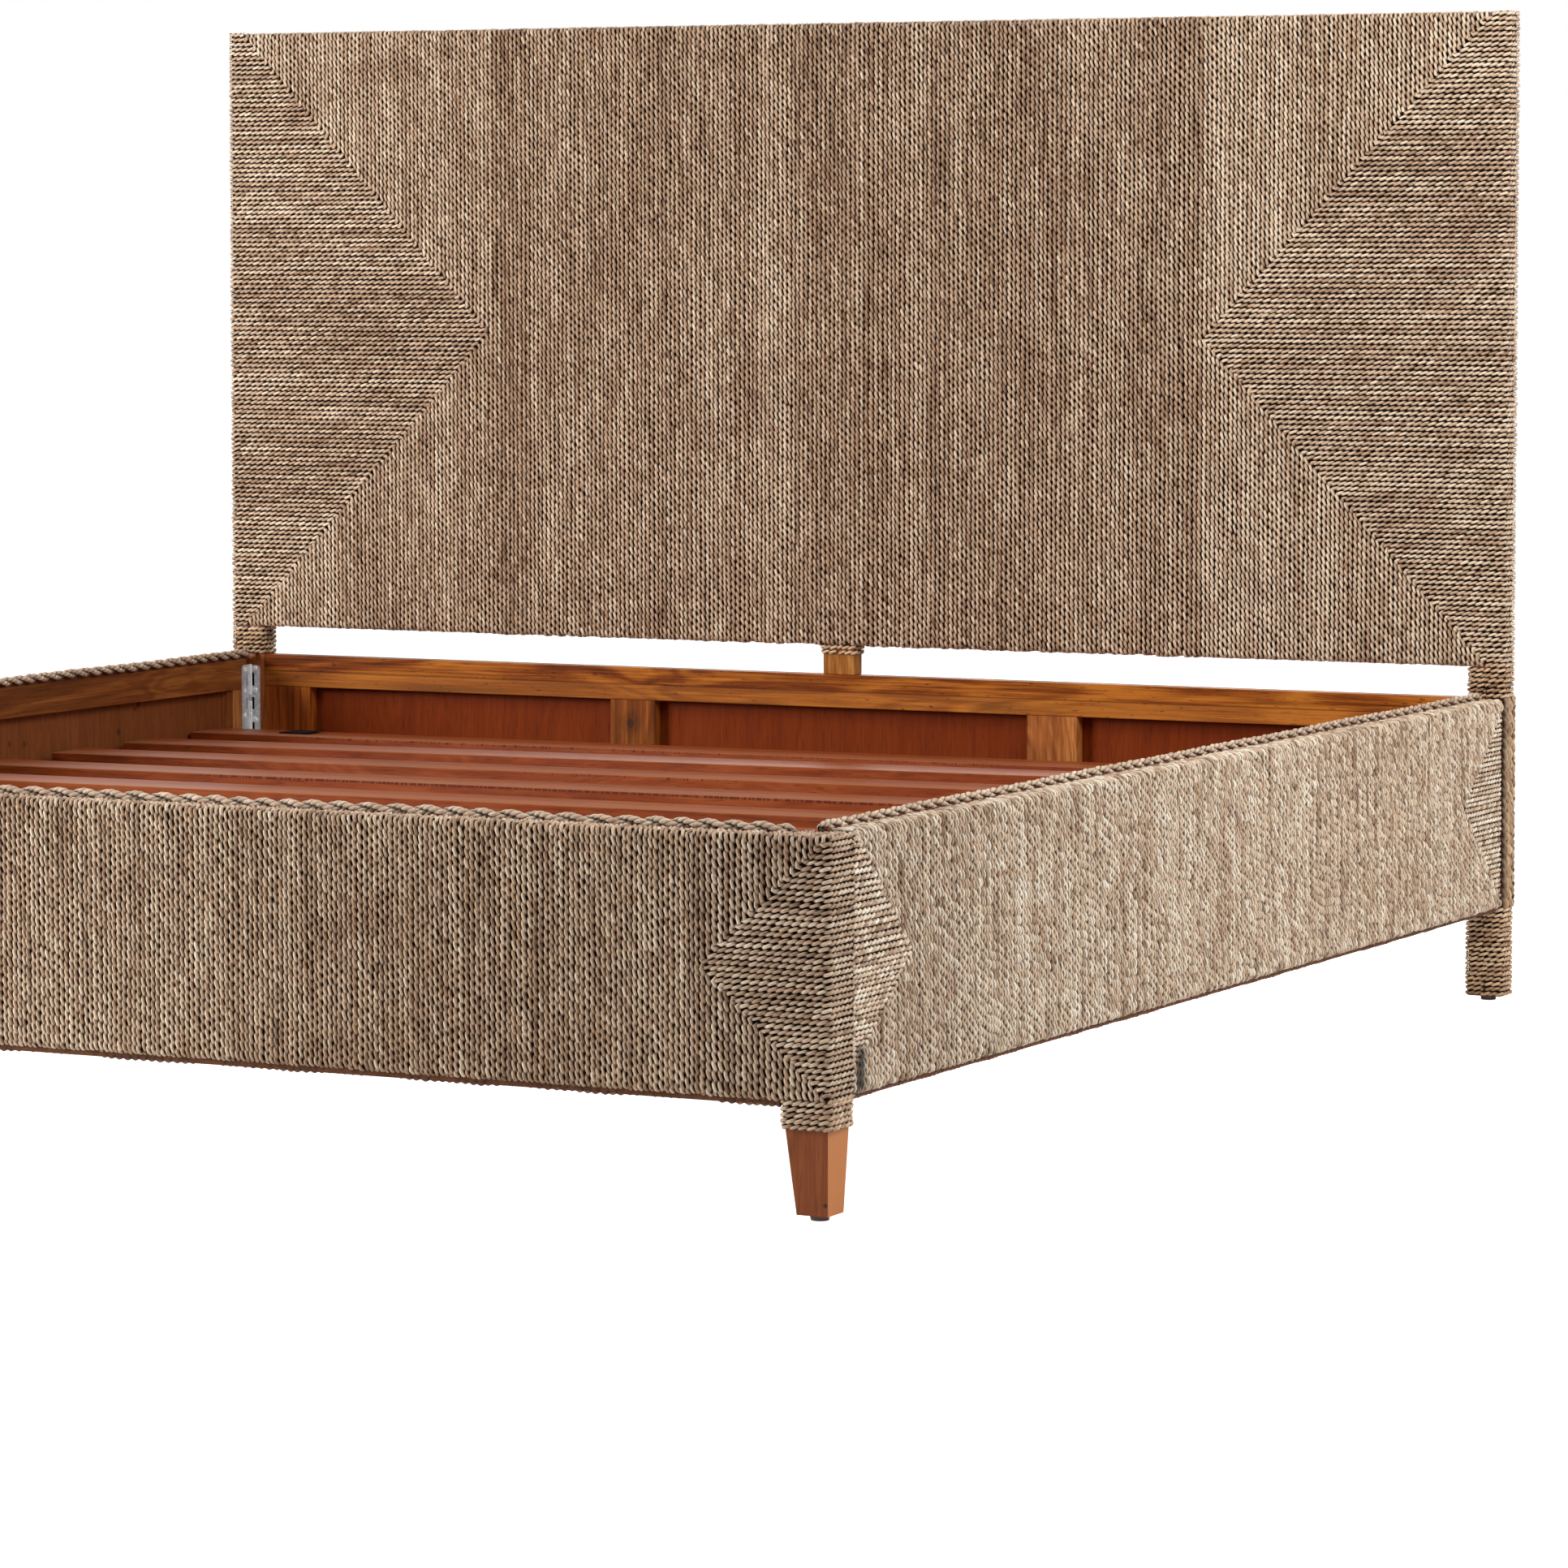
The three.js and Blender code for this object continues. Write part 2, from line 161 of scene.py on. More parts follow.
# ------------------------------------------------------- rush cord shading
def rush_material(name, light, mid, dark, gap=0.92, sheen=0.12, wg=0.46, wc=0.20, wf=0.40, low=(-0.07, 0.05)):
    n = Net(name)
    att = n.node("ShaderNodeAttribute", attribute_name="g")
    sep = n.node("ShaderNodeSeparateColor")
    n.put(att.outputs["Color"], sep.inputs[0])
    grain, cord, stain_and_shade = sep.outputs[0], sep.outputs[1], sep.outputs[2]
    uv = n.node("ShaderNodeUVMap", uv_map="UVMap")
    uvs = n.node("ShaderNodeSeparateXYZ")
    n.put(uv.outputs[0], uvs.inputs[0])
    u, v = uvs.outputs[0], uvs.outputs[1]
    # fibres run along each grain, slightly slanted
    comb = n.node("ShaderNodeCombineXYZ")
    n.put(n.math("MULTIPLY", u, 1.7), comb.inputs[0])
    n.put(n.math("ADD", n.math("MULTIPLY", v, 8.0), n.math("MULTIPLY", u, 1.6)), comb.inputs[1])
    n.put(n.math("MULTIPLY", grain, 137.0), comb.inputs[2])
    fib = n.noise(comb.outputs[0], 1.0, 3.0, 0.6)
    big = n.noise(n.coords(), 1.6, 2.0, 0.5)
    # base tone from grain, cord and place
    t = n.math("ADD", n.math("MULTIPLY", grain, wg), n.math("MULTIPLY", cord, wc))
    t = n.math("ADD", t, n.math("MULTIPLY", n.mapr(fib, 0.3, 0.7, 0.0, 1.0), wf))
    t = n.math("ADD", t, n.mapr(big, 0.35, 0.65, low[0], low[1]))
    t = n.math("ADD", t, 0.42 - 0.5 * (wg + wf))
    col = n.ramp(t, [(0.16, dark), (0.50, mid), (0.82, light)])
    # warmer and greyer blades here and there
    warm = n.ramp(n.math("FRACT", n.math("MULTIPLY", grain, 7.31)), [(0.78, (0, 0, 0)), (0.94, (1, 1, 1))])
    col = n.mix(n.math("MULTIPLY", warm, 0.30), col, (mid[0] * 0.92, mid[1] * 0.74, mid[2] * 0.56))
    grey = n.ramp(n.math("FRACT", n.math("MULTIPLY", grain, 13.7)), [(0.80, (0, 0, 0)), (0.95, (1, 1, 1))])
    col = n.mix(n.math("MULTIPLY", grey, 0.40), col, (mid[0] * 0.92, mid[1] * 0.98, mid[2] * 1.08))
    # redder patches a few rows high
    patch = n.noise(n.coords((3.1, 0.7, 5.2)), 9.0, 3.0, 0.6)
    col = n.mix(n.mapr(patch, 0.56, 0.74, 0.0, 0.42), col, (dark[0] * 1.25, dark[1] * 1.05, dark[2] * 0.92))
    # painted shade where a grain dips under its neighbour and down the sides of the cord
    e1 = n.math("MULTIPLY", n.math("ABSOLUTE", n.math("SUBTRACT", u, 0.5)), 2.0)
    e2 = n.math("MULTIPLY", n.math("ABSOLUTE", n.math("SUBTRACT", v, 0.5)), 2.0)
    a1 = n.mapr(e1, 0.54, 0.93, 0.0, 1.0)
    a2 = n.mapr(e2, 0.50, 0.98, 0.0, 1.0)
    edge = n.math("SUBTRACT", 1.0, n.math("MULTIPLY", n.math("SUBTRACT", 1.0, a1), n.math("SUBTRACT", 1.0, a2)))
    groove_shade = (dark[0] * 0.26, dark[1] * 0.19, dark[2] * 0.145)
    col = n.mix(n.math("MULTIPLY", edge, gap), col, groove_shade)
    # the third channel of g darkens towards brown-black: real stains on a few cords, and painted shade in gaps, corners
    # and creases
    col = n.mix(stain_and_shade, col, c255(36, 29, 25))
    n.set("Base Color", col)
    n.set("Roughness", 0.62)
    n.set("Specular IOR Level", 0.30)
    n.set("Sheen Weight", sheen)
    n.set("Sheen Roughness", 0.45)
    n.bump(fib, 0.4, 0.0012)
    return n.mat


# ----------------------------------------------------------- wood shading
AXROT = {"x": (0, 0, 0), "y": (0, 0, math.pi / 2), "z": (0, math.pi / 2, 0)}


def wood_material(name, axis, tones, seed, rough=0.45, contrast=1.0, knots=0.0, spec=0.24, streaks=0.5, painted_lit_side=None,
                  crown=None, pits=None, glue=None, spots=(), grainy=0.12, gap_shade=None, top_shade=None, end_tone=None):
    """Board with its grain along axis; tones = (dark, mid, light)."""
    dark, mid, light = tones
    n = Net(name)
    off = (seed * 1.37, seed * 2.11, seed * 0.73)

    def along(u, v):
        return {"x": (u, v, v), "y": (v, u, v), "z": (v, v, u)}[axis]

    # a knot bends the grain round it
    base = n.coords(off, along(1.0, 1.0))
    warp = n.noise(n.coords(off, along(2.2, 7.0)), 1.0, 1.0, 0.4)
    cb = n.node("ShaderNodeVectorMath", operation="MULTIPLY")
    n.put(base, cb.inputs[0])
    n.put(along(1.1, 13.0), cb.inputs[1])
    ad = n.node("ShaderNodeVectorMath", operation="ADD")
    n.put(cb.outputs[0], ad.inputs[0])
    sc = n.node("ShaderNodeCombineXYZ")
    for k in range(3):
        n.put(n.math("MULTIPLY", warp, 1.6), sc.inputs[k])
    n.put(sc.outputs[0], ad.inputs[1])
    broad = n.noise(ad.outputs[0], 1.0, 3.0, 0.5, 0.4)
    rings = n.mapr(n.math("SINE", n.math("MULTIPLY", broad, 64.0)), -1.0, 1.0, 0.0, 1.0)
    fine = n.noise(n.coords(off, along(5.0, 210.0)), 1.0, 4.0, 0.65)
    pores = n.noise(n.coords(off, along(34.0, 640.0)), 1.0, 1.0, 0.5)
    t = n.math("ADD", n.math("MULTIPLY", broad, 0.55 * contrast), n.math("MULTIPLY", rings, 0.17 * contrast))
    t = n.math("ADD", t, n.math("MULTIPLY", n.mapr(fine, 0.28, 0.72, 0.0, 1.0), 0.36 * contrast))
    t = n.math("ADD", t, 0.52 - 0.54 * contrast)
    if end_tone is not None:
        # board paler towards its right end
        x0, x1, shift = end_tone
        ends = n.node("ShaderNodeSeparateXYZ")
        n.put(n.coords(), ends.inputs[0])
        t = n.math("ADD", t, n.mapr(ends.outputs[0], x0, x1, 0.0, shift))
    col = n.ramp(t, [(0.28, dark), (0.52, mid), (0.80, light)])
    if streaks > 0:
        st = n.noise(n.coords(off, along(1.7, 46.0)), 1.0, 3.0, 0.55)
        col = n.mix(n.math("MULTIPLY", n.mapr(st, 0.60, 0.72, 0.0, 1.0), streaks), col, tuple(c * 0.55 for c in dark))
    pdark = n.mapr(pores, 0.26, 0.40, 1.0, 0.0)
    col = n.mix(n.math("MULTIPLY", pdark, 0.5), col, tuple(c * 0.35 for c in dark))
    if knots > 0:
        vo = n.node("ShaderNodeTexVoronoi", feature="F1", voronoi_dimensions="3D")
        n.put(n.coords(off, along(3.0, 13.0)), vo.inputs["Vector"])
        n.put(1.0, vo.inputs["Scale"])
        k = n.mapr(vo.outputs["Distance"], 0.08, 0.20, 1.0, 0.0)
        col = n.mix(n.math("MULTIPLY", k, knots), col, tuple(c * 0.30 for c in dark))
    if painted_lit_side is not None:
        # painted light: faces turned towards +axis_out are tinted towards the given tone, as on their lit side
        geo = n.node("ShaderNodeNewGeometry")
        sep = n.node("ShaderNodeSeparateXYZ")
        n.put(geo.outputs["Normal"], sep.inputs[0])
        axis_out, tone, amount = painted_lit_side
        f = n.mapr(sep.outputs[axis_out], 0.6, 0.95, 0.0, amount)
        col = n.mix(f, col, tone)
    xyz = n.node("ShaderNodeSeparateXYZ")
    n.put(n.coords(), xyz.inputs[0])
    px, py, pz = xyz.outputs[0], xyz.outputs[1], xyz.outputs[2]
    if glue is not None:
        # a board glued up of two: paler below the joint, with a fine dark line
        z0, tone = glue
        low = n.mapr(pz, z0 - 0.0004, z0 + 0.0004, 0.30, 0.0)
        col = n.mix(low, col, tone)
        d = n.math("ABSOLUTE", n.math("SUBTRACT", pz, z0))
        col = n.mix(n.mapr(d, 0.0003, 0.0014, 0.6, 0.0), col, tuple(c * 0.4 for c in dark))
        dash = n.noise(n.coords((4, 1, 2), along(70.0, 300.0)), 1.0, 2.0, 0.5)
        col = n.mix(n.mapr(dash, 0.66, 0.72, 0.0, 0.7), col, tuple(c * 0.35 for c in dark))
    if pits is not None:
        # small torn pits along the upper front edge
        x0, x1, least = pits
        dots = n.noise(n.coords((7, 3, 1), (330.0, 20.0, 20.0)), 1.0, 2.0, 0.5)
        band = n.mapr(pz, 0.3018, 0.3030, 0.0, 1.0)
        here = n.math("MULTIPLY", n.mapr(px, x0 - 0.03, x0 + 0.03, 0.0, 1.0), n.mapr(px, x1 - 0.03, x1 + 0.03, 1.0, 0.0))
        geo2 = n.node("ShaderNodeNewGeometry")
        sp2 = n.node("ShaderNodeSeparateXYZ")
        n.put(geo2.outputs["Normal"], sp2.inputs[0])
        face = n.mapr(sp2.outputs[1], -0.5, -0.2, 1.0, 0.0)
        f = n.math("MULTIPLY", n.math("MULTIPLY", n.mapr(dots, least, least + 0.06, 0.0, 0.75), band), n.math("MULTIPLY", here, face))
        col = n.mix(f, col, c255(62, 12, 8))
    for x, y, z, r, amount in spots:
        dv = n.node("ShaderNodeVectorMath", operation="DISTANCE")
        n.put(n.coords(), dv.inputs[0])
        n.put((x, y, z), dv.inputs[1])
        col = n.mix(n.mapr(dv.outputs["Value"], r * 0.55, r, amount, 0.0), col, c255(24, 16, 12))
    if top_shade is not None:
        # painted shadow: board darkened under the beam above it
        z1, deep, amount = top_shade
        f = n.mapr(pz, z1 - deep, z1, 0.0, 1.0)
        col = n.mix(n.math("MULTIPLY", n.math("MULTIPLY", f, f), amount), col, c255(30, 12, 6))
    if gap_shade is not None:
        # painted shade on the front of the post behind the end of the rail
        sx = n.math("ABSOLUTE", px)
        geo3 = n.node("ShaderNodeNewGeometry")
        sp3 = n.node("ShaderNodeSeparateXYZ")
        n.put(geo3.outputs["Normal"], sp3.inputs[0])
        f = n.math("MULTIPLY", n.mapr(sx, gap_shade - 0.002, gap_shade + 0.006, 0.0, 0.94), n.mapr(sp3.outputs[1], -0.6, -0.3, 1.0, 0.0))
        col = n.mix(f, col, c255(34, 20, 12))
    across = None
    if crown is not None:
        # painted sheen: paler over the front half of the top
        x0, y0, turn = crown
        ca, sa = math.cos(math.radians(turn)), math.sin(math.radians(turn))
        across = n.math("SUBTRACT", n.math("MULTIPLY", n.math("SUBTRACT", py, y0 * MM), ca),
                        n.math("MULTIPLY", n.math("SUBTRACT", px, x0 * MM), sa))
        blur = n.math("MULTIPLY", n.math("SUBTRACT", n.noise(n.coords(off, along(1.5, 4.0)), 1.0, 2.0, 0.5), 0.5), 0.03)
        painted_sheen = n.mapr(n.math("ADD", across, blur), 0.014, -0.014, 0.06, 0.38)
        topf = n.mapr(pz, 0.3052, 0.3060, 0.0, 1.0)
        col = n.mix(n.math("MULTIPLY", painted_sheen, topf), col, c255(184, 126, 92))
    n.set("Base Color", col)
    n.set("Roughness", n.mapr(fine, 0.3, 0.7, rough - 0.05, rough + 0.07))
    if across is None:
        n.set("Specular IOR Level", spec)
    else:
        n.set("Specular IOR Level", n.mapr(topf, 0.0, 1.0, 0.16, spec))
    bp = n.bump(n.math("ADD", fine, n.math("MULTIPLY", pores, 0.6)), grainy, 0.0006)
    if crown is not None:
        # the board is slightly crowned: its front half falls away towards its front edge
        q = n.mapr(across, 0.004, -0.0445, 0.0, 1.0)
        h = n.math("MULTIPLY", n.math("MULTIPLY", q, q), -0.0012)
        b2 = n.node("ShaderNodeBump")
        n.put(1.0, b2.inputs["Strength"])
        n.put(1.0, b2.inputs["Distance"])
        n.put(h, b2.inputs["Height"])
        n.nt.links.new(b2.outputs[0], bp.inputs["Normal"])
    return n.mat


def plain_material(name, color, rough, metal=0.0, spec=0.5, noise=0.0, scale=60.0):
    n = Net(name)
    t = n.noise(n.coords(), scale, 3.0, 0.6)
    f = n.mapr(t, 0.3, 0.7, 1.0 - noise, 1.0 + noise)
    col = n.mix(1.0, color, (1, 1, 1), "MULTIPLY")
    mul = n.node("ShaderNodeVectorMath", operation="SCALE")
    n.put(col, mul.inputs[0])
    n.put(f, mul.inputs["Scale"])
    n.set("Base Color", mul.outputs[0])
    n.set("Roughness", n.mapr(t, 0.3, 0.7, rough - 0.04, rough + 0.06))
    n.set("Metallic", metal)
    n.set("Specular IOR Level", spec)
    n.bump(t, 0.05, 0.0005)
    return n.mat


RUSH_L, RUSH_M, RUSH_D = c255(250, 227, 198), c255(203, 170, 139), c255(128, 95, 69)
M_RUSH = rush_material("rush_cord", RUSH_L, RUSH_M, RUSH_D)
M_POST = rush_material("rush_cord_posts", c255(250, 219, 180), c255(205, 167, 129), c255(124, 88, 60))
M_RAIL = rush_material("rush_cord_rail", c255(255, 244, 224), c255(224, 198, 170), c255(142, 111, 85),
                       wg=0.62, wc=0.13, wf=0.42, low=(-0.05, 0.02))
M_EDGE = rush_material("rush_edging", c255(255, 235, 212), c255(215, 187, 159), c255(130, 102, 80), gap=0.92)
# near-black backing under the cords: painted shade for the gaps between them
M_SHADE_BACKING = plain_material("rush_shade_backing", c255(40, 28, 20), 0.9, noise=0.2, spec=0.1)

# --------------------------------------------------------------- cord maker
LAY = 20.0          # millimetres for one turn of the two plies
ROUND = 3.5         # half a cord


class Bucket:
    """Collects grains of many cords and turns them into meshes."""

    def __init__(self, name, mat, slot):
        self.name, self.mat, self.slot = name, mat, slot
        self.V, self.F, self.U, self.C = [], [], [], []
        self.nv = 0
        self.tris = 0
        self.done = []

    def add(self, V, F, U, C):
        if self.tris + 2 * len(F) > 188000:
            self.flush()
        self.V.append(V)
        self.F.append(F + self.nv)
        self.U.append(U)
        self.C.append(C)
        self.nv += len(V)
        self.tris += 2 * len(F)

    def flush(self):
        if not self.V:
            return
        V = np.concatenate(self.V) * MM
        F = np.concatenate(self.F)
        U = np.concatenate(self.U)
        C = np.concatenate(self.C)
        me = bpy.data.meshes.new(f"{self.name}_{len(self.done) + 1}")
        me.vertices.add(len(V))
        me.vertices.foreach_set("co", V.astype(np.float32).ravel())
        me.loops.add(F.size)
        me.loops.foreach_set("vertex_index", F.astype(np.int32).ravel())
        me.polygons.add(len(F))
        me.polygons.foreach_set("loop_start", np.arange(0, F.size, 4, dtype=np.int32))
        me.polygons.foreach_set("use_smooth", np.ones(len(F), dtype=bool))
        uvl = me.uv_layers.new(name="UVMap")
        at = me.attributes.new("g", "FLOAT_COLOR", "POINT")
        me.update(calc_edges=True)
        me.uv_layers["UVMap"].data.foreach_set("uv", U[F.ravel()].astype(np.float32).ravel())
        me.attributes["g"].data.foreach_set("color", C.astype(np.float32).ravel())
        me.materials.append(self.mat)
        ob = bpy.data.objects.new(me.name, me)
        scene.collection.objects.link(ob)
        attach(ob, ROOT)
        self.done.append(ob)
        self.V, self.F, self.U, self.C = [], [], [], []
        self.nv = self.tris = 0


def path(points, normals, radii, arc=5):
    """Rounded polyline: points are corners, normals belong to the segments between them."""
    pts = [np.asarray(p, float) for p in points]
    nrm = [np.asarray(v, float) for v in normals]
    P, N = [pts[0]], [nrm[0]]
    for i in range(1, len(pts) - 1):
        a, b, c = pts[i - 1], pts[i], pts[i + 1]
        la, lc = np.linalg.norm(b - a), np.linalg.norm(c - b)
        d0, d1 = (b - a) / la, (c - b) / lc
        r = min(radii[i - 1], la * 0.49, lc * 0.49)
        for k in range(arc + 1):
            al = math.pi / 2 * k / arc
            P.append(b - d0 * r + d0 * r * math.sin(al) + d1 * r * (1 - math.cos(al)))
            v = nrm[i - 1] * math.cos(al) + nrm[i] * math.sin(al)
            N.append(v / np.linalg.norm(v))
    P.append(pts[-1])
    N.append(nrm[-1])
    return np.array(P), np.array(N)


def lay(bucket, P, N, pitch=6.9, phase=None, lod=2, lay_mm=LAY, widths=None, cord=None, wander=0.3,
        stain_and_shade=None, fat=1.0, rise=0.0):
    """Winds one two-ply cord along the path."""
    seg = np.linalg.norm(np.diff(P, axis=0), axis=1)
    s = np.concatenate([[0], np.cumsum(seg)])
    keep = np.concatenate([[True], seg > 1e-6])
    P, N, s = P[keep], N[keep], s[keep]
    if widths is not None:
        widths = np.asarray(widths)[keep]
    L = s[-1]
    if L < 2.0:
        return
    T = np.gradient(P, s, axis=0) if len(P) > 2 else np.repeat((P[1:] - P[:1]) / L, 2, axis=0)
    half = lay_mm / 2 * (1.0 + rng.normal(0, 0.035))
    if phase is None:
        phase = rng.random()
    K = int(math.ceil(L / half)) + 4
    step = half * np.clip(1.0 + rng.normal(0, 0.09, K), 0.75, 1.3)
    sc = (phase - 0.5) * half + np.concatenate([[0], np.cumsum(step)[:-1]])
    ok = (sc > -0.2 * half) & (sc < L + 0.2 * half)
    par = np.arange(K)[ok] % 2
    sc = sc[ok]
    K = len(sc)
    nr, nc = {0: (4, 3), 1: (5, 4), 2: (6, 4), 3: (6, 5)}[lod]
    phi = np.linspace(math.radians(-40), math.radians(220), nr)
    th = {3: np.radians([-15, 90, 195]), 4: np.radians([-18, 52, 128, 198]),
          5: np.radians([-22, 40, 90, 140, 202])}[nc]
    ds = (phi - math.pi / 2) / (2 * math.pi) * lay_mm
    sg = np.clip(sc[:, None] + ds[None, :], 0.0, L)
    fl = sg.ravel()
    Pg = np.stack([np.interp(fl, s, P[:, i]) for i in range(3)], 1)
    Ng = np.stack([np.interp(fl, s, N[:, i]) for i in range(3)], 1)
    Tg = np.stack([np.interp(fl, s, T[:, i]) for i in range(3)], 1)
    Ng /= np.linalg.norm(Ng, axis=1, keepdims=True)
    Tg -= Ng * np.sum(Tg * Ng, 1, keepdims=True)
    Tg /= np.linalg.norm(Tg, axis=1, keepdims=True) + 1e-9
    Bg = np.cross(Tg, Ng)
    w = np.interp(fl, s, widths) if widths is not None else np.full(len(fl), pitch)
    # slow sideways and height wander of the cord, and places where it lies a little thinner
    a1, a2, a3, a4 = rng.random(4) * 6.283
    side = wander * (np.sin(fl / 47.0 + a1) + 0.7 * np.sin(fl / 19.0 + a2)) * 0.6
    up = 0.25 * np.sin(fl / 31.0 + a3) + rise
    w = w * (1.0 - 0.07 * np.clip(np.sin(fl / 83.0 + a4), 0, 1))
    # tone follows each ply for a few grains
    e = rng.normal(0, 1, K)
    g = np.zeros(K)
    last = rng.normal(0, 1, 2)
    for k in range(K):
        last[par[k]] = 0.72 * last[par[k]] + 0.69 * e[k]
        g[k] = last[par[k]]
    slow = 0.10 * np.sin(sc / 61.0 + rng.random() * 6.3) + 0.08 * np.sin(sc / 23.0 + rng.random() * 6.3)
    g_r = np.clip(0.5 + 0.14 * g + slow + rng.normal(0, 0.17, K), 0.0, 1.0)
    rad = 1.0 + rng.normal(0, 0.06, K)
    hj = rng.normal(0, 0.14, K)
    W = (w * fat).reshape(K, nr)
    swell = 1.0 + 0.05 * np.sin(phi)[None, :]
    r = 0.325 * W * rad[:, None] * swell
    a = 0.190 * W
    ce = np.cos(phi)[None, :] * a
    se = np.sin(phi)[None, :] * a
    wx = ce[:, :, None] + r[:, :, None] * np.cos(th)[None, None, :] + side.reshape(K, nr)[:, :, None]
    hy = se[:, :, None] + r[:, :, None] * np.sin(th)[None, None, :] + up.reshape(K, nr)[:, :, None] + hj[:, None, None]
    V = (Pg.reshape(K, nr, 1, 3) + Bg.reshape(K, nr, 1, 3) * wx[..., None] + Ng.reshape(K, nr, 1, 3) * hy[..., None])
    V = V.reshape(-1, 3)
    base = (np.arange(K) * nr * nc)[:, None, None]
    i = np.arange(nr - 1)[None, :, None]
    j = np.arange(nc - 1)[None, None, :]
    q0 = base + i * nc + j
    F = np.stack([q0, q0 + nc, q0 + nc + 1, q0 + 1], -1).reshape(-1, 4)
    uu = np.linspace(0, 1, nr)
    vv = (th - th[0]) / (th[-1] - th[0])
    U = np.empty((K, nr, nc, 2))
    U[..., 0] = uu[None, :, None]
    U[..., 1] = vv[None, None, :]
    C = np.zeros((K, nr, nc, 4))
    C[..., 0] = g_r[:, None, None]
    C[..., 1] = rng.random() if cord is None else cord
    C[..., 3] = 1.0
    if stain_and_shade is not None:
        C[..., 2] = stain_and_shade(V.reshape(K, nr, nc, 3))
    bucket.add(V, F, U.reshape(-1, 2), C.reshape(-1, 4))


def mitre(P, N, corner, width, gain=0.24, reach=4.5, push=0.95):
    """Cord pressed wider where it turns at a mitre, so that no gap opens there."""
    s = np.concatenate([[0], np.cumsum(np.linalg.norm(np.diff(P, axis=0), axis=1))])
    at = s[np.argmin(np.linalg.norm(P - np.asarray(corner, float), axis=1))]
    extra = np.array([at - reach, at + reach])
    t = np.unique(np.concatenate([s, extra[(extra > 0.1) & (extra < s[-1] - 0.1)]]))
    P2 = np.stack([np.interp(t, s, P[:, i]) for i in range(3)], 1)
    N2 = np.stack([np.interp(t, s, N[:, i]) for i in range(3)], 1)
    w = np.interp(t, s, np.broadcast_to(np.asarray(width, float), s.shape))
    near = np.clip(1 - np.abs(t - at) / reach, 0, 1)
    ends = np.stack([np.interp((at - reach, at + reach), s, P[:, i]) for i in range(3)], 1)
    out = np.array([np.interp(at, s, P[:, i]) for i in range(3)]) - ends.mean(0)
    out /= np.linalg.norm(out) + 1e-9
    return P2 + out * (push * near[:, None]), N2, w * (1 + gain * near)


class Drift:
    """Phase of the twist from cord to cord: mostly its own, a little like its neighbour's."""

    def __init__(self, step, noise=0.24):
        self.p, self.step, self.noise = rng.random(), step, noise

    def __call__(self):
        self.p += self.step + rng.normal(0, self.noise)
        return self.p % 1.0


class Tone:
    """Tone of each cord: runs of lighter and darker cords, with odd ones between."""

    def __init__(self):
        self.z = rng.normal(0, 1)

    def __call__(self):
        self.z = 0.80 * self.z + 0.60 * rng.normal(0, 1)
        return float(np.clip(0.5 + 0.24 * self.z + rng.normal(0, 0.17), 0, 1))


def spread(a, b, pitch):
    """Centres and widths of cords laid side by side from a to b."""
    n = int(round((b - a) / pitch))
    w = np.clip(1.0 + rng.normal(0, 0.055, n), 0.87, 1.13)
    w *= (b - a) / w.sum()
    c = a + np.cumsum(w) - w / 2
    return c, w


R = ROUND
X_, Y_, Z_ = np.array([1.0, 0, 0]), np.array([0, 1.0, 0]), np.array([0, 0, 1.0])

# ------------------------------------------------------------- headboard
HALF, HF, HB = 1015.0, 1013.0, 1060.0
HZ0, HZ1 = 455.8, 1345.0
head = Bucket("head_rush", M_RUSH, "rush")
YM = (HF + HB) / 2
SEAM_X0, SEAM_X1, NSEAM = 990.0, 567.0, 64
pv = (SEAM_X0 - SEAM_X1) / NSEAM
ph = (HZ1 - HZ0) / 2 / NSEAM
for yf, nf, lod in ((HF + R, -Y_, 2), (HB - R, Y_, 1)):
    dr, tone = Drift(0.13), Tone()
    for x, pm in zip(*spread(-SEAM_X1, SEAM_X1, 6.9)):
        zb = HZ0 + R + float(np.clip(rng.normal(0, 0.9), -1.8, 1.8))
        P, N = path([(x, YM, zb), (x, yf, zb), (x, yf, HZ1 - R), (x, YM, HZ1 - R)],
                    [-Z_, nf, Z_], [4, 4])
        lay(head, P, N, pm, dr(), lod, cord=tone() - 0.28 * math.exp(-((x - 30.0) / 260.0) ** 2))
    for sgn in (-1, 1):
        for up in (0, 1):
            dr, tone = Drift(0.10), Tone()
            for i in range(NSEAM):
                x = sgn * (SEAM_X0 - (i + 0.5) * pv)
                if up:
                    z, ze, ne = HZ1 - (i + 0.5) * ph, HZ1 - R, Z_
                else:
                    z, ze, ne = HZ0 + (i + 0.5) * ph, HZ0 + R, -Z_
                pts = [(sgn * (HALF - R), YM, z), (sgn * (HALF - R), yf, z)]
                nn, rr = [sgn * X_], [4]
                if abs(z - ze) > 3:
                    pts += [(x, yf, z), (x, yf, ze), (x, YM, ze)]
                    nn += [nf, nf, ne]
                    rr += [1.3, 4]
                else:
                    pts += [(x, yf, z)]
                    nn += [nf]
                P, N = path(pts, nn, rr)
                P, N, wd = mitre(P, N, (x, yf, z), 6.75)
                lay(head, P, N, 6.75, dr(), lod, widths=wd, cord=tone() + (0.75 if sgn > 0 else 0.25))
head.flush()
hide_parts("head_rope_cover")

# dark backing under the cords of the headboard: painted shade seen through the gaps between the cords
def box_mesh(name, x0, x1, y0, y1, z0, z1, mat, body=ROOT):
    v = [(x, y, z) for x in (x0, x1) for y in (y0, y1) for z in (z0, z1)]
    f = [(0, 1, 3, 2), (4, 6, 7, 5), (0, 4, 5, 1), (2, 3, 7, 6), (0, 2, 6, 4), (1, 5, 7, 3)]
    me = bpy.data.meshes.new(name)
    me.from_pydata([tuple(c * MM for c in p) for p in v], [], f)
    me.materials.append(mat)
    ob = bpy.data.objects.new(name, me)
    scene.collection.objects.link(ob)
    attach(ob, body)
    return ob


D = 6.0
box_mesh("head_rush_backing", -HALF + D, HALF - D, HF + D, HB - D, HZ0 + D, HZ1 - D, M_SHADE_BACKING)
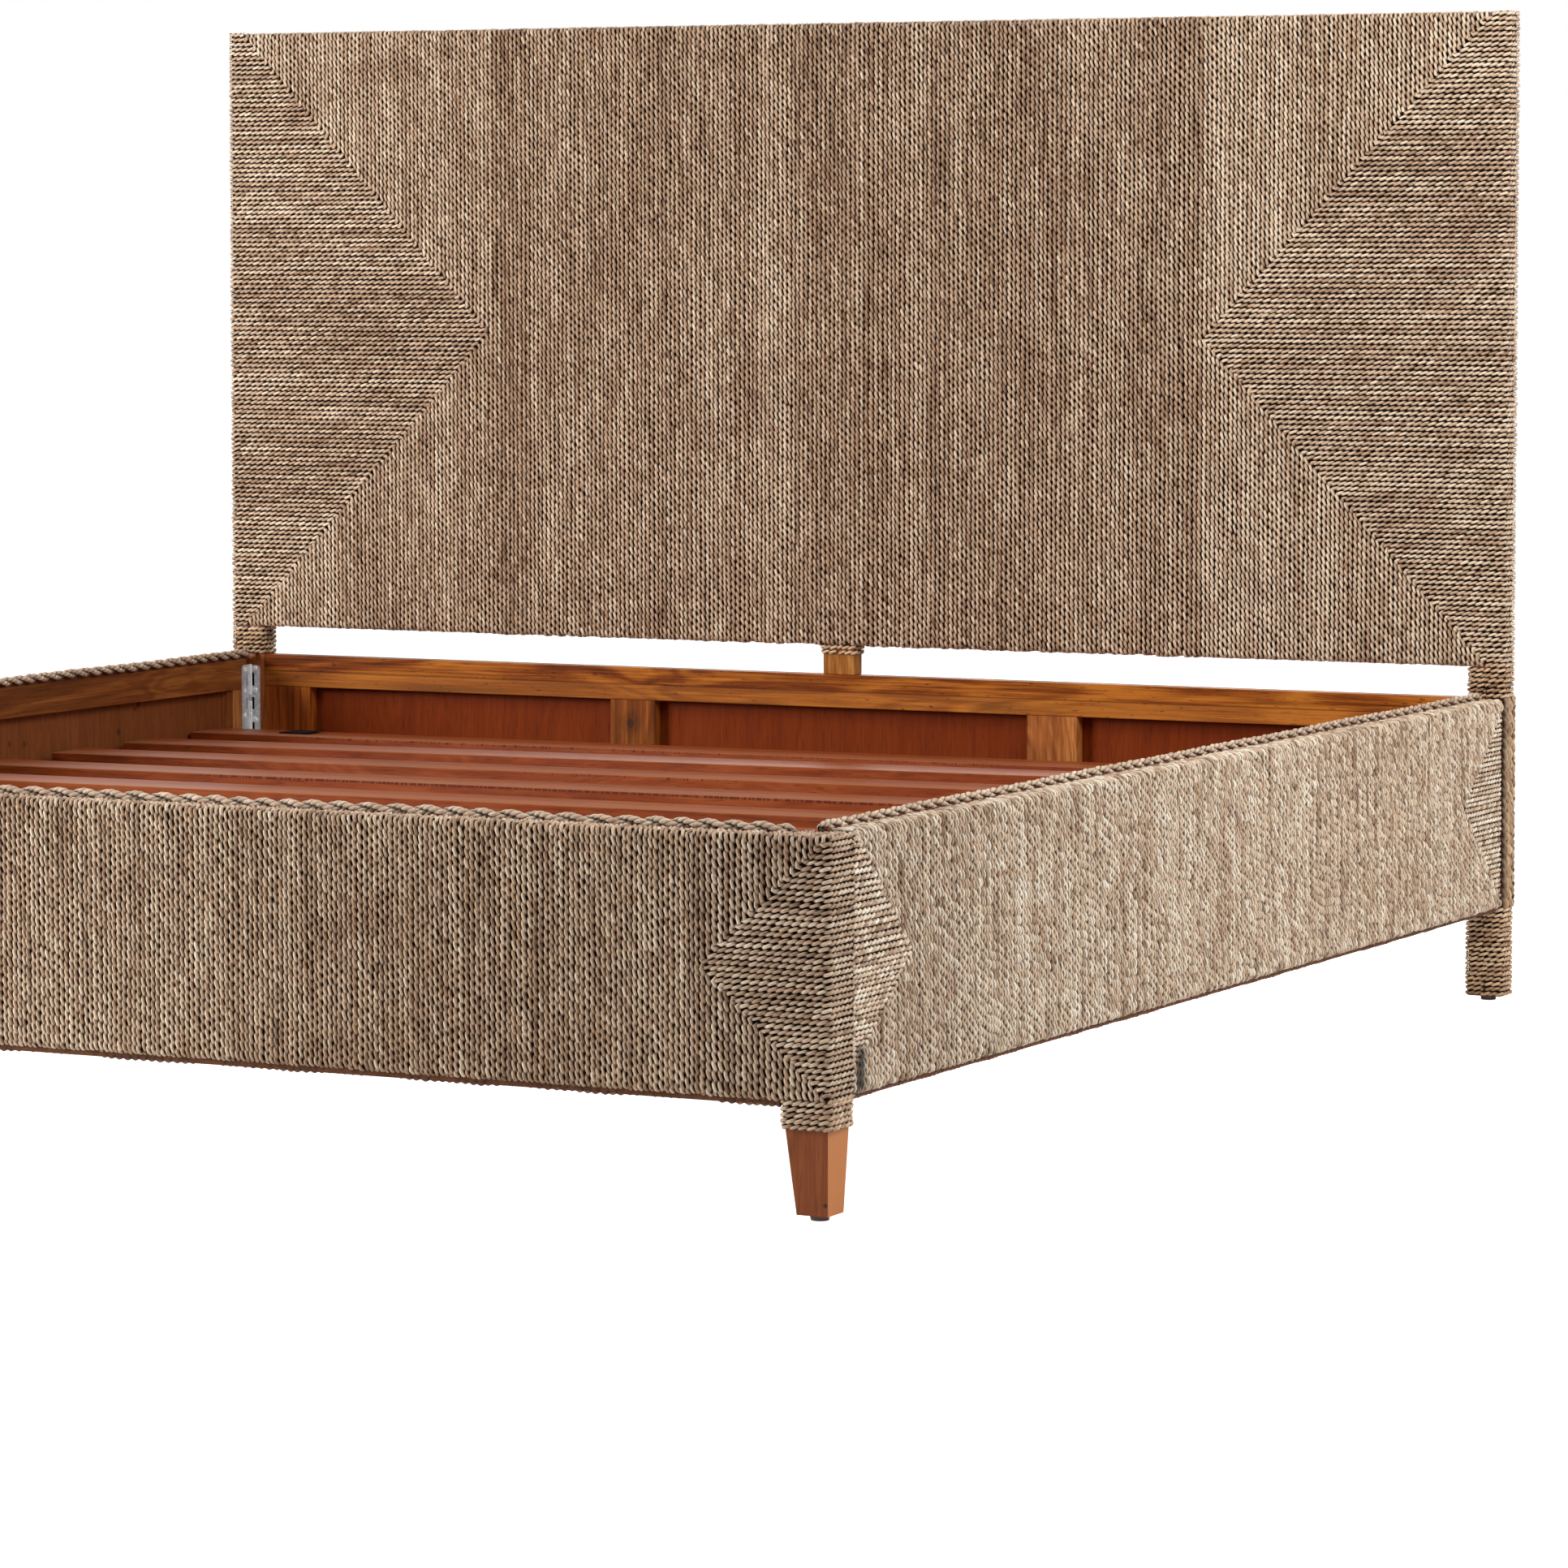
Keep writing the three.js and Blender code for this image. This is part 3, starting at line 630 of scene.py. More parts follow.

# dark backing sheets behind the footboard and rail cords: painted shade seen through the gaps
box_mesh("foot_rush_backing", -1008.0, 1008.0, -1053.6, -1053.1, 128.5, 409.0, M_SHADE_BACKING)
for tag, sgn in (("left", -1), ("right", 1)):
    xa, xb = sorted((sgn * 1008.1, sgn * 1008.6))
    box_mesh(f"foot_side_shade_backing_{tag}", xa, xb, -1053.5, -1001.6, 128.5, 409.0, M_SHADE_BACKING)
    box_mesh(f"rail_rush_backing_{tag}", xa, xb, -1000.0, 1004.5, 131.0, 411.0, M_SHADE_BACKING)

# --------------------------------------------------------- head post wraps
posts = {}
for tag, sgn in (("left", -1), ("right", 1)):
    b = Bucket(f"head_post_rush_{tag}", M_POST, "rush")
    xo, xi = sgn * (HALF - R), sgn * (957.0 + R)
    y0, y1 = HF + R, HB - R
    dr = Drift(0.17)

    def turn(z):
        P, N = path([((xo + xi) / 2, y0, z), (xo, y0, z), (xo, y1, z), (xi, y1, z), (xi, y0, z), ((xo + xi) / 2 + sgn * 0.5, y0, z)],
                    [-Y_, sgn * X_, Y_, -sgn * X_, -Y_], [5, 5, 5, 5])
        lay(b, P, N, 6.9, dr(), 2)

    for i in range(6):
        turn(414.6 + (i + 0.5) * 6.85)
    for i in range(18):
        turn(6.8 + (i + 0.5) * 6.75)
    dv = Drift(0.03, 0.07)

    def shade_near_rail(V):
        """Painted shade: darker towards the gap behind the end of the rail."""
        return np.clip((HB - 26.0 - V[..., 1]) / 15.0, 0, 1) * 0.55 + 0.10

    for i in range(4):
        y = HB - (i + 0.5) * 10.3
        P = np.array([(xo - sgn * 1.4, y, 127.0), (xo - sgn * 1.4, y, 415.0)])
        lay(b, P, np.array([sgn * X_, sgn * X_]), 10.3, dv(), 3, lay_mm=30.0, stain_and_shade=shade_near_rail)
    dv = Drift(0.2)
    for i in range(8):
        x = sgn * (HALF - (i + 0.5) * 6.6)
        P = np.array([(x, HB - R, 127.0), (x, HB - R, 415.0)])
        lay(b, P, np.array([Y_, Y_]), 6.7, dv(), 1)
    b.flush()
    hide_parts(f"head_post_wrap_{tag}")
    # dark backing behind the post wraps: painted shade seen through the gaps
    xa, xb = sorted((sgn * 963.4, sgn * 1008.6))
    box_mesh(f"head_post_shade_backing_low_{tag}", xa, xb, 1019.4, 1053.6, 8.0, 127.2, M_SHADE_BACKING)
    box_mesh(f"head_post_shade_backing_top_{tag}", xa, xb, 1019.4, 1053.6, 415.6, 455.0, M_SHADE_BACKING)

# -------------------------------------------------------------- footboard
FF, FZ0, FZ1 = -1060.0, 126.3, 411.7
foot = Bucket("foot_rush", M_RUSH, "rush")


def side_shade(V):
    """Painted shade: the cords of the corners are a little darker than the others."""
    side = np.clip((np.abs(V[..., 0]) - 1009) / 3, 0, 1) * np.clip((V[..., 1] + 1056) / 6, 0, 1)
    return 0.10 + 0.06 * side


yf = FF + R
TIPX, NF = 858.0, 22
def thin_side(P):
    """Width of a cord: a little thinner round on the outer side, where the rows stand apart."""
    on_side = np.clip((np.abs(P[:, 0]) - 1008) / 3, 0, 1) * np.clip((P[:, 1] + 1054) / 4, 0, 1)
    return 6.9 - 1.15 * on_side


# cords paler at the left end of the footboard and darker towards the right: a painted gradient of light
dr, tone = Drift(0.12), Tone()
for x, pm in zip(*spread(-TIPX, TIPX, 6.4)):
    P, N = path([(x, -1030.0, FZ0 + R), (x, yf, FZ0 + R), (x, yf, FZ1 - R), (x, -1030.0, FZ1 - R)],
                [-Z_, -Y_, Z_], [3.5, 3.5])
    lay(foot, P, N, pm, dr(), 3, cord=tone() + 0.45 - 0.85 * min(max((x + 50.0) / 900.0, 0.0), 1.0))
TIPZ = 268.0
pvf = (HALF - TIPX) / NF
for sgn in (-1, 1):
    for up in (0, 1):
        dr = Drift(0.15)
        pz = (FZ1 - TIPZ) / NF if up else (TIPZ - FZ0) / NF
        for i in range(NF):
            x = sgn * (HALF - (i + 0.5) * pvf)
            z = FZ1 - (i + 0.5) * pz if up else FZ0 + (i + 0.5) * pz
            ze, ne = (FZ1 - R, Z_) if up else (FZ0 + R, -Z_)
            over = abs(x) > 955
            ye = -1001.0 if (up and over) else (-1050.0 if over else -1030.0)
            pts = [(sgn * (HALF - R), -999.6, z), (sgn * (HALF - R), yf, z)]
            nn, rr = [sgn * X_], [4.5]
            if abs(z - ze) > 3:
                pts += [(x, yf, z), (x, yf, ze), (x, ye, ze)]
                nn += [-Y_, -Y_, ne]
                rr += [1.3, 3.5]
                P, N = path(pts, nn, rr)
                P, N, wd = mitre(P, N, (x, yf, z), thin_side(P), gain=0.2)
                lay(foot, P, N, 6.9, dr(), 3, stain_and_shade=side_shade, widths=wd)
            else:
                pts += [(x, yf, z)]
                nn += [-Y_]
                P, N = path(pts, nn, rr)
                lay(foot, P, N, 6.9, dr(), 3, stain_and_shade=side_shade, widths=thin_side(P))
                P = np.array([(x, ye, ze), (x, yf, ze)])
                lay(foot, P, np.array([ne, ne]), 6.9, dr(), 3)
foot.flush()
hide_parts("foot_rope_cover")

# collars round the legs
for tag, sgn in (("left", -1), ("right", 1)):
    b = Bucket(f"foot_collar_rush_{tag}", M_RUSH, "rush")
    xo, xi = sgn * (HALF - R), sgn * (952.0 + R)
    y0, y1 = FF + R, -997.0 - R
    dr = Drift(0.3)
    for i in range(5):
        z = 97.4 + (i + 0.5) * 6.3
        xm = (xo + xi) / 2
        P, N = path([(xm, y1, z), (xo, y1, z), (xo, y0, z), (xi, y0, z), (xi, y1, z), (xm + sgn * 0.5, y1, z)],
                    [Y_, sgn * X_, -Y_, -sgn * X_, Y_], [5, 5, 5, 5])
        lay(b, P, N, 6.9, dr(), 3)
    b.flush()
    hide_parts(f"foot_collar_{tag}")
    # dark backing behind the collar cords: painted shade seen through the gaps
    xa, xb = sorted((sgn * 958.4, sgn * 1008.6))
    box_mesh(f"foot_collar_shade_backing_{tag}", xa, xb, -1053.6, -1003.4, 98.2, 128.0, M_SHADE_BACKING)

# -------------------------------------------------------------- side rails
RZ0, RZ1, RY0, RY1 = 128.4, 413.9, -1000.6, 1006.0


def blot(V):
    """The few discoloured cords by the foot post."""
    y, z = V[..., 1], V[..., 2]
    k = np.exp(-(((y + 985) / 11) ** 2)) * np.clip((z - 128) / 8, 0, 1) * np.clip((188 - z) / 16, 0, 1)
    return np.clip(k * 1.1, 0, 0.92)


for tag, sgn in (("left", -1), ("right", 1)):
    b = Bucket(f"rail_rush_{tag}", M_RAIL, "rush")
    lod = 3 if sgn > 0 else 1
    xo, xi = sgn * (HALF - R), sgn * 986.5
    ya, yb = -857.0, 860.0
    dr, tone = Drift(0.19), Tone()
    for y, p in zip(*spread(ya, yb, 6.9)):
        P, N = path([(xi, y, RZ0 + R), (xo, y, RZ0 + R), (xo, y, RZ1 - R), (xi, y, RZ1 - R)],
                    [-Z_, sgn * X_, Z_], [3.5, 4.5])
        lay(b, P, N, p, dr(), lod, cord=tone(), fat=0.95)
    for end in (0, 1):
        if end == 0:
            n, tipy, tipz, zlow, zup, y_end = 20, ya, 270.0, 159.0, 415.0, RY0
        else:
            n, tipy, tipz, zlow, zup, y_end = 20, yb, 277.0, 137.0, 401.0, RY1 + 2.6
        for up in (0, 1):
            dr = Drift(0.15)
            for i in range(n):
                y = y_end + (tipy - y_end) * (i + 0.5) / n
                z = zup + (tipz - zup) * (i + 0.5) / n if up else zlow + (tipz - zlow) * (i + 0.5) / n
                z = min(z, RZ1 - R)
                ze, ne = (RZ1 - R, Z_) if up else (RZ0 + R, -Z_)
                pz = abs((zup if up else zlow) - tipz) / n
                py = abs(tipy - y_end) / n
                dirn = 1 if end else -1
                if end:
                    pts = [(sgn * 988.0, y_end - R, z), (xo, y_end - R, z)]
                    nn, rr = [Y_], [3.5]
                else:
                    pts = [(xo, y_end - 1.9, z)]
                    nn, rr = [], []
                if abs(z - ze) > 3:
                    pts += [(xo, y, z), (xo, y, ze), (xi, y, ze)]
                    nn += [sgn * X_, sgn * X_, ne]
                    rr += [1.3, 4.5]
                else:
                    pts += [(xo, y, z)]
                    nn += [sgn * X_]
                    P = np.array([(xo - sgn * 1.0, y, ze), (xi, y, ze)])
                    lay(b, P, np.array([ne, ne]), py, dr(), lod, stain_and_shade=blot if sgn > 0 else None)
                P, N = path(pts, nn, rr)
                # cord is as wide as the rows are apart, then as the columns are apart
                seg = np.abs(np.gradient(P[:, 2]))
                wd = np.where(np.abs(P[:, 2] - z) < 0.6, pz, py)
                P, N, wd = mitre(P, N, (xo, y, z), np.clip(wd, 6.2, 7.4), gain=0.15)
                lay(b, P, N, 6.8, dr(), lod, widths=wd, stain_and_shade=blot if sgn > 0 else None)
    b.flush()
    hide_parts(f"rail_{tag}_rope")

# -------------------------------------------------- twisted edging cords
def rope(bucket, P, N, radius=3.2, rho=3.7, lay_mm=67.0, ply_mm=14.5, step=1.25, sides=12, phase=0.0, taper=(0, 0)):
    """Two thick strands laid together along a path, each of two plies twisted the other way."""
    seg = np.linalg.norm(np.diff(P, axis=0), axis=1)
    s = np.concatenate([[0], np.cumsum(seg)])
    L = s[-1]
    m = int(L / step) + 2
    fl = np.linspace(0, L, m)
    Pc = np.stack([np.interp(fl, s, P[:, i]) for i in range(3)], 1)
    Nc = np.stack([np.interp(fl, s, N[:, i]) for i in range(3)], 1)
    Nc /= np.linalg.norm(Nc, axis=1, keepdims=True)
    T = np.gradient(Pc, fl, axis=0)
    T -= Nc * np.sum(T * Nc, 1, keepdims=True)
    T /= np.linalg.norm(T, axis=1, keepdims=True)
    B = np.cross(T, Nc)
    wob = 0.45 * np.sin(fl / 97.0 + rng.random() * 6) + 0.25 * np.sin(fl / 43.0 + rng.random() * 6)
    ang = -2 * math.pi * fl / lay_mm + wob + phase
    thin = np.ones(m)
    for k, dist in enumerate(taper):
        if dist:
            d = fl if k == 0 else L - fl
            thin *= np.clip(0.35 + 0.65 * d / dist, 0, 1)
    th = np.linspace(0, 2 * math.pi, sides, endpoint=False)
    for q in (0, math.pi):
        out = B * np.cos(ang + q)[:, None] + Nc * np.sin(ang + q)[:, None]
        C = Pc + out * (radius * thin)[:, None]
        t = np.gradient(C, fl, axis=0)
        t /= np.linalg.norm(t, axis=1, keepdims=True)
        o2 = out - t * np.sum(out * t, 1, keepdims=True)
        o2 /= np.linalg.norm(o2, axis=1, keepdims=True)
        b2 = np.cross(t, o2)
        tw = 2 * math.pi * fl / ply_mm + 0.5 * np.sin(fl / 29.0 + rng.random() * 6) + rng.random() * 6
        tp = th[None, :] - tw[:, None]
        lobe = np.abs(np.cos(tp))
        fat = rho * thin * (1 + 0.05 * np.sin(fl / 23.0 + rng.random() * 6) + 0.03 * np.sin(fl / 9.0 + rng.random() * 6))
        rr = fat[:, None] * (0.64 + 0.36 * lobe ** 0.62)
        V = C[:, None, :] + (b2[:, None, :] * np.cos(th)[None, :, None] + o2[:, None, :] * np.sin(th)[None, :, None]) * rr[..., None]
        i = np.arange(m - 1)[:, None]
        j = np.arange(sides)[None, :]
        k2 = (j + 1) % sides
        F = np.stack([i * sides + j, i * sides + k2, (i + 1) * sides + k2, (i + 1) * sides + j], -1).reshape(-1, 4)
        # tone: each ply changes every few millimetres, a new blade now and then
        U = np.empty((m, sides, 2))
        U[..., 0] = 0.5 + 0.27 * np.sin(fl / 5.3)[:, None]
        U[..., 1] = 0.5 + 0.5 * (1 - lobe) ** 0.85
        knots = np.arange(0, L + 12, 6.0)
        g0 = np.interp(fl, knots, rng.normal(0.52, 0.20, len(knots)))
        g1 = np.interp(fl, knots, rng.normal(0.52, 0.20, len(knots)))
        Cc = np.zeros((m, sides, 4))
        Cc[..., 0] = np.clip(np.where(np.cos(tp) > 0, g0[:, None], g1[:, None]), 0, 1)
        Cc[..., 1] = 0.5
        # painted shade: darker in the crease between the two strands and on their lower side
        away = np.linalg.norm(V - Pc[:, None, :], axis=2)
        Cc[..., 2] = np.clip((radius + 0.95 - away) / 1.8, 0, 0.93)
        under = (Pc[:, None, 2] - V[..., 2]) / (radius + rho)
        Cc[..., 2] = np.clip(Cc[..., 2] + 0.7 * np.clip(under - 0.15, 0, 1), 0, 0.93)
        Cc[..., 3] = 1.0
        bucket.add(V.reshape(-1, 3), F, U.reshape(-1, 2), Cc.reshape(-1, 4))


def bent(x, pts):
    """Smooth values through control points."""
    return np.interp(x, [p[0] for p in pts], [p[1] for p in pts])


edge = Bucket("foot_edging", M_EDGE, "cord")
m = 160
t = np.linspace(-958, 960, m)
dip = bent(t, [(-958, -4.5), (-946, -1.2), (-930, 0), (930, 0), (948, -1.0), (960, -4.5)])
P = np.stack([t, -1024 + 0.6 * np.sin(t / 101.0), FZ1 + 1.6 + dip + 0.5 * np.sin(t / 61.0)], 1)
rope(edge, P, np.repeat([Z_], m, 0), lay_mm=69.0, taper=(14, 14))
edge.flush()
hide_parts("foot_top_braid")
for tag, sgn in (("left", -1), ("right", 1)):
    edge = Bucket(f"rail_edging_{tag}", M_EDGE, "cord")
    m = 160
    t = np.linspace(-1016, RY1 + 5, m)
    dip = bent(t, [(-1016, -1.0), (-1004, 1.2), (-985, 0), (980, 0), (1000, 1.5), (1011, 0.5)])
    P = np.stack([sgn * (979.0 + 0.5 * np.sin(t / 117.0)), t, RZ1 + 1.6 + dip + 0.5 * np.sin(t / 66.0)], 1)
    rope(edge, P, np.repeat([Z_], m, 0), lay_mm=64.5, taper=(10, 8), phase=1.1)
    edge.flush()
    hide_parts(f"rail_{tag}_braid")

# single cords along the lower edges
# the lower edge cords take a darker copy of the rush: painted shade of their underside
M_LOW_SHADED = rush_material("rush_lower_edge_shaded", c255(184, 136, 102), c255(128, 87, 62), c255(74, 48, 35), sheen=0.04)
low = Bucket("lower_edge_cords", M_LOW_SHADED, "cord")
m = 260


def uneven(lo, hi, size):
    """Small dips of a cord tied on along the edge."""
    q = np.linspace(lo, hi, m)
    w = np.sin(q / 31.0) + 0.8 * np.sin(q / 12.3 + 1.0) + 0.6 * np.sin(q / 67.0 + 2.0)
    return q, size * w


q, dip = uneven(-952.0, 952.0, 0.55)
P = np.stack([q, -1050.0 + 0.8 * dip, 124.4 + dip], 1)
lay(low, P, np.repeat([-Z_], m, 0), 8.0, None, 3, cord=0.4)
M_SHADE_LINE = plain_material("rush_underside_shade", c255(104, 68, 48), 0.9, noise=0.3, scale=120, spec=0.1)
# a dark brown strip under the lower edge cords: painted shade of the underside
box_mesh("foot_underside_shade", -952.0, 952.0, -1053.4, -1046.0, 121.9, 129.5, M_SHADE_LINE)
for sgn in (-1, 1):
    q, dip = uneven(RY0 + 6, RY1 - 6, 0.5)
    P = np.stack([np.full(m, sgn * 1006.5), q, 127.6 + dip], 1)
    lay(low, P, np.repeat([-Z_], m, 0), 6.4, None, 2, cord=0.9)
    # the same dark strip under the rails: painted shade of the underside
    xa, xb = sorted((sgn * 1003.4, sgn * 1009.0))
    box_mesh("rail_underside_shade_left" if sgn < 0 else "rail_underside_shade_right", xa, xb, RY0 + 6, RY1 - 6, 125.6, 131.5, M_SHADE_LINE)
# two turns round the middle strut
lash = Bucket("strut_lashing", M_POST, "cord")
for i in range(2):
    z = 443.0 + (i + 0.5) * 7.0
    P, N = path([(4.0, 1018.0, z), (30.5, 1018.0, z), (30.5, 1047.0, z), (-22.0, 1047.0, z), (-22.0, 1018.0, z), (4.4, 1018.0, z)],
                [-Y_, X_, Y_, -X_, -Y_], [4, 4, 4, 4])
    lay(lash, P, N, 7.0, None, 2)
lash.flush()
low.flush()
# short cords over the two top corners of the headboard, beside the mitred turns
kept = rng.bit_generator.state
caps = Bucket("head_top_corners", M_RUSH, "rush")
q = np.linspace(HF + 5.5, HB - 5.5, 64)
for sgn in (-1, 1):
    for x in (992.2, 998.8, 1005.4):
        P = np.stack([np.full(64, sgn * x), q, np.full(64, HZ1 - R)], 1)
        lay(caps, P, np.repeat([Z_], 64, 0), 7.0, None, 2, cord=0.3)
caps.flush()
rng.bit_generator.state = kept
# narrow strips that close the top of the rails under the edging, in dark brown as painted shade under the braid
for tag, sgn in (("left", -1), ("right", 1)):
    xa, xb = sorted((sgn * 981.8, sgn * 986.5))
    box_mesh(f"rail_edging_seat_{tag}", xa, xb, -1010.0, RY1 + 2.0, RZ1 - 6.0, RZ1 - 0.4, M_SHADE_LINE)

# ------------------------------------------------------------------ wood
BEAM = (c255(66, 26, 3), c255(125, 58, 9), c255(188, 112, 36))
STILE = (c255(66, 23, 4), c255(108, 43, 6), c255(146, 80, 22))
GOLD = (c255(112, 60, 24), c255(168, 101, 46), c255(204, 142, 82))
STILEM = (c255(82, 37, 9), c255(123, 62, 16), c255(162, 94, 34))
STILER = (c255(110, 56, 20), c255(166, 96, 42), c255(210, 144, 82))
STRUT = (c255(110, 58, 18), c255(158, 96, 38), c255(204, 146, 76))
STILEL = (c255(96, 42, 10), c255(147, 70, 18), c255(190, 118, 46))
RAILW = (c255(76, 38, 13), c255(124, 68, 27), c255(170, 110, 52))
REDW = (c255(92, 38, 12), c255(132, 64, 20), c255(170, 98, 44))
SLAT = (c255(98, 36, 12), c255(141, 63, 24), c255(168, 90, 42))
PLYW = (c255(90, 32, 10), c255(120, 48, 14), c255(142, 66, 26))
PLYL = (c255(96, 48, 21), c255(126, 69, 31), c255(146, 86, 43))


def paint(node, mat):
    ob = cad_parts[node]
    ob.data.materials.clear()
    ob.data.materials.append(mat)


# grain direction, tones and the rest of each board
BOARDS = [
    # the leg's +X face is tinted paler: painted light on its lit side
    (("foot_post_right",), "z", REDW, dict(rough=0.40, streaks=0.0, contrast=0.5, spec=0.3, painted_lit_side=(0, c255(194, 119, 56), 0.9),
                                           spots=((1.0055, -1.0530, 0.0186, 0.0032, 0.85),))),
    (("head_post_l", "head_post_r"), "z", REDW, dict(rough=0.36, streaks=0.2, spec=0.4, gap_shade=0.992)),
    # the legs' +X faces are tinted paler: painted light on their lit side
    (("foot_post",), "z", REDW, dict(rough=0.40, streaks=0.0, contrast=0.5, spec=0.3, painted_lit_side=(0, c255(194, 119, 56), 0.9))),
    (("center_leg",), "z", STILE, dict()),
    (("head_stile_left",), "z", STILEL, dict(knots=0.5, streaks=0.3, contrast=0.9, spec=0.12, rough=0.58)),
    (("head_stile_mid_right",), "z", STILER, dict(knots=0.3, streaks=0.2, contrast=0.8, spec=0.12, rough=0.58)),
    (("head_stile_mid_left",), "z", STILEM, dict(knots=0.9, streaks=0.1, contrast=1.0, spec=0.10, rough=0.6,
        spots=((-0.3343, 1.020, 0.3322, 0.0085, 0.55), (-0.3343, 1.020, 0.3322, 0.0220, 0.30)))),
    (("head_stile",), "z", STILE, dict(knots=0.9, streaks=0.3, spec=0.12, rough=0.58)),
    (("rail_left_head_stile", "rail_right_head_stile"), "z", GOLD, dict(streaks=0.3)),
    (("head_lower_beam",), "x", BEAM, dict(knots=0.8, streaks=0.45, contrast=1.15, spec=0.09, rough=0.55, end_tone=(-0.40, 0.15, 0.17), glue=(0.3895, c255(182, 114, 50)))),
    (("head_lower_bottom", "head_top_rail", "head_panel_rail", "foot_top_rail", "foot_bottom_rail"), "x", STILE, dict()),
    (("head_center_strut",), "z", STRUT, dict(streaks=0.3, spec=0.1, rough=0.6)),
    (("head_lower_ply",), "z", PLYW, dict(contrast=0.36, streaks=0.0, spec=0.05, rough=0.6, top_shade=(0.372, 0.034, 0.85))),
    (("head_core_board", "foot_ply"), "z", PLYW, dict(contrast=0.36, streaks=0.0, spec=0.05, rough=0.6)),
    (("rail_left_ply", "rail_right_ply"), "z", PLYL, dict(contrast=0.55, streaks=0.15, spec=0.2, rough=0.65,
        spots=((-1.0023, 0.6841, 0.3192, 0.0065, 0.6), (-1.0023, 0.4024, 0.3225, 0.005, 0.5), (-1.0023, 0.4392, 0.3197, 0.0055, 0.5),
               (-1.0023, 0.7368, 0.3559, 0.006, 0.6), (-1.0023, 0.7290, 0.3500, 0.005, 0.5)))),
    (("slat_ledger", "center_beam"), "y", STILE, dict()),
    (("rail_left_top", "rail_right_top", "rail_left_bottom", "rail_right_bottom"), "y", RAILW, dict(streaks=0.3, contrast=0.75, knots=0.3, spec=0.15, rough=0.55)),
    (("slat_",), "x", SLAT, dict(contrast=0.55, streaks=0.15, rough=0.42, spec=0.25, grainy=0.05)),
]
# middle and turn of each slat, and where its front edge is torn
LAID = [(-17, 940, 1.6), (-9, 778, 3.86), (-2, 563, 2.6), (0, 345, 1.75), (-3, 137.3, 1.2), (1, -76, 0.5), (0, -288, -0.6),
        (-1, -502, 0.3), (0, -710, 0.8), (0, -917, 0)]
PITS = {"slat_01": (-0.80, 0.35, 0.56), "slat_03": (-0.30, 0.10, 0.60), "slat_04": (-0.60, 0.45, 0.44)}
seed = 1.0
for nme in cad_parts:
    if "post_wrap" in nme:
        continue
    for heads, ax, tones, kw in BOARDS:
        if nme.startswith(heads):
            seed += 1.7
            if heads == ("slat_",):
                kw = dict(kw, crown=LAID[int(nme[-2:]) - 1][:3], pits=PITS.get(nme))
            paint(nme, wood_material(f"wood_{nme}", ax, tones, seed, **kw))
            break
M_GLIDE = plain_material("glide_plastic", c255(126, 104, 90), 0.55, noise=0.08)
M_ZINC = plain_material("zinc_plate", c255(212, 216, 219), 0.38, metal=0.5, noise=0.22, scale=160)
# a whiter, less metallic zinc for flanges and screws: painted highlight
M_ZINC_HIGHLIGHT = plain_material("zinc_highlight", c255(250, 251, 252), 0.30, metal=0.25, noise=0.06, scale=200)
M_SHADE_RECESS = plain_material("bracket_recess_shade", c255(22, 18, 16), 0.8, noise=0.1, spec=0.1)
M_STEEL = plain_material("leveller_steel", c255(150, 150, 152), 0.35, metal=1.0, noise=0.06, scale=200)
for t in ("head_left", "head_right", "foot_left", "foot_right"):
    paint(f"glide_{t}", M_GLIDE)
paint("center_leveller", M_STEEL)


# -------------------------------------------------------- corner brackets
def outline(x0, x1, z0, z1, r_top, r_low, seg=7):
    """Rounded rectangle, anticlockwise."""
    pts = []
    for cx, cz, r, a0 in ((x1, z0, r_low, -90), (x1, z1, r_top, 0), (x0, z1, r_top, 90), (x0, z0, r_low, 180)):
        sx = -1 if cx == x1 else 1
        sz = -1 if cz == z1 else 1
        for k in range(seg + 1):
            al = math.radians(a0 + 90 * k / seg)
            pts.append((cx + sx * r + r * math.cos(al), cz + sz * r + r * math.sin(al)))
    return pts


def plate(outer, holes, thick, bevel=0.35):
    """Flat plate with openings and eased edges, in its own plane; returns vertices and faces."""
    cu = bpy.data.curves.new("plate", "CURVE")
    cu.dimensions = "2D"
    cu.fill_mode = "BOTH"
    cu.extrude = thick / 2 - bevel
    cu.bevel_depth = bevel
    cu.bevel_resolution = 1
    cu.offset = -bevel
    for loop in [outer] + holes:
        sp = cu.splines.new("POLY")
        sp.points.add(len(loop) - 1)
        for q, (x, z) in zip(sp.points, loop):
            q.co = (x, z, 0, 1)
        sp.use_cyclic_u = True
    ob = bpy.data.objects.new("plate", cu)
    scene.collection.objects.link(ob)
    bpy.context.view_layer.update()
    me = bpy.data.meshes.new_from_object(ob.evaluated_get(bpy.context.evaluated_depsgraph_get()))
    V = np.array([v.co[:] for v in me.vertices])
    F = [tuple(q.vertices) for q in me.polygons]
    bpy.data.objects.remove(ob)
    bpy.data.curves.remove(cu)
    bpy.data.meshes.remove(me)
    return V, F


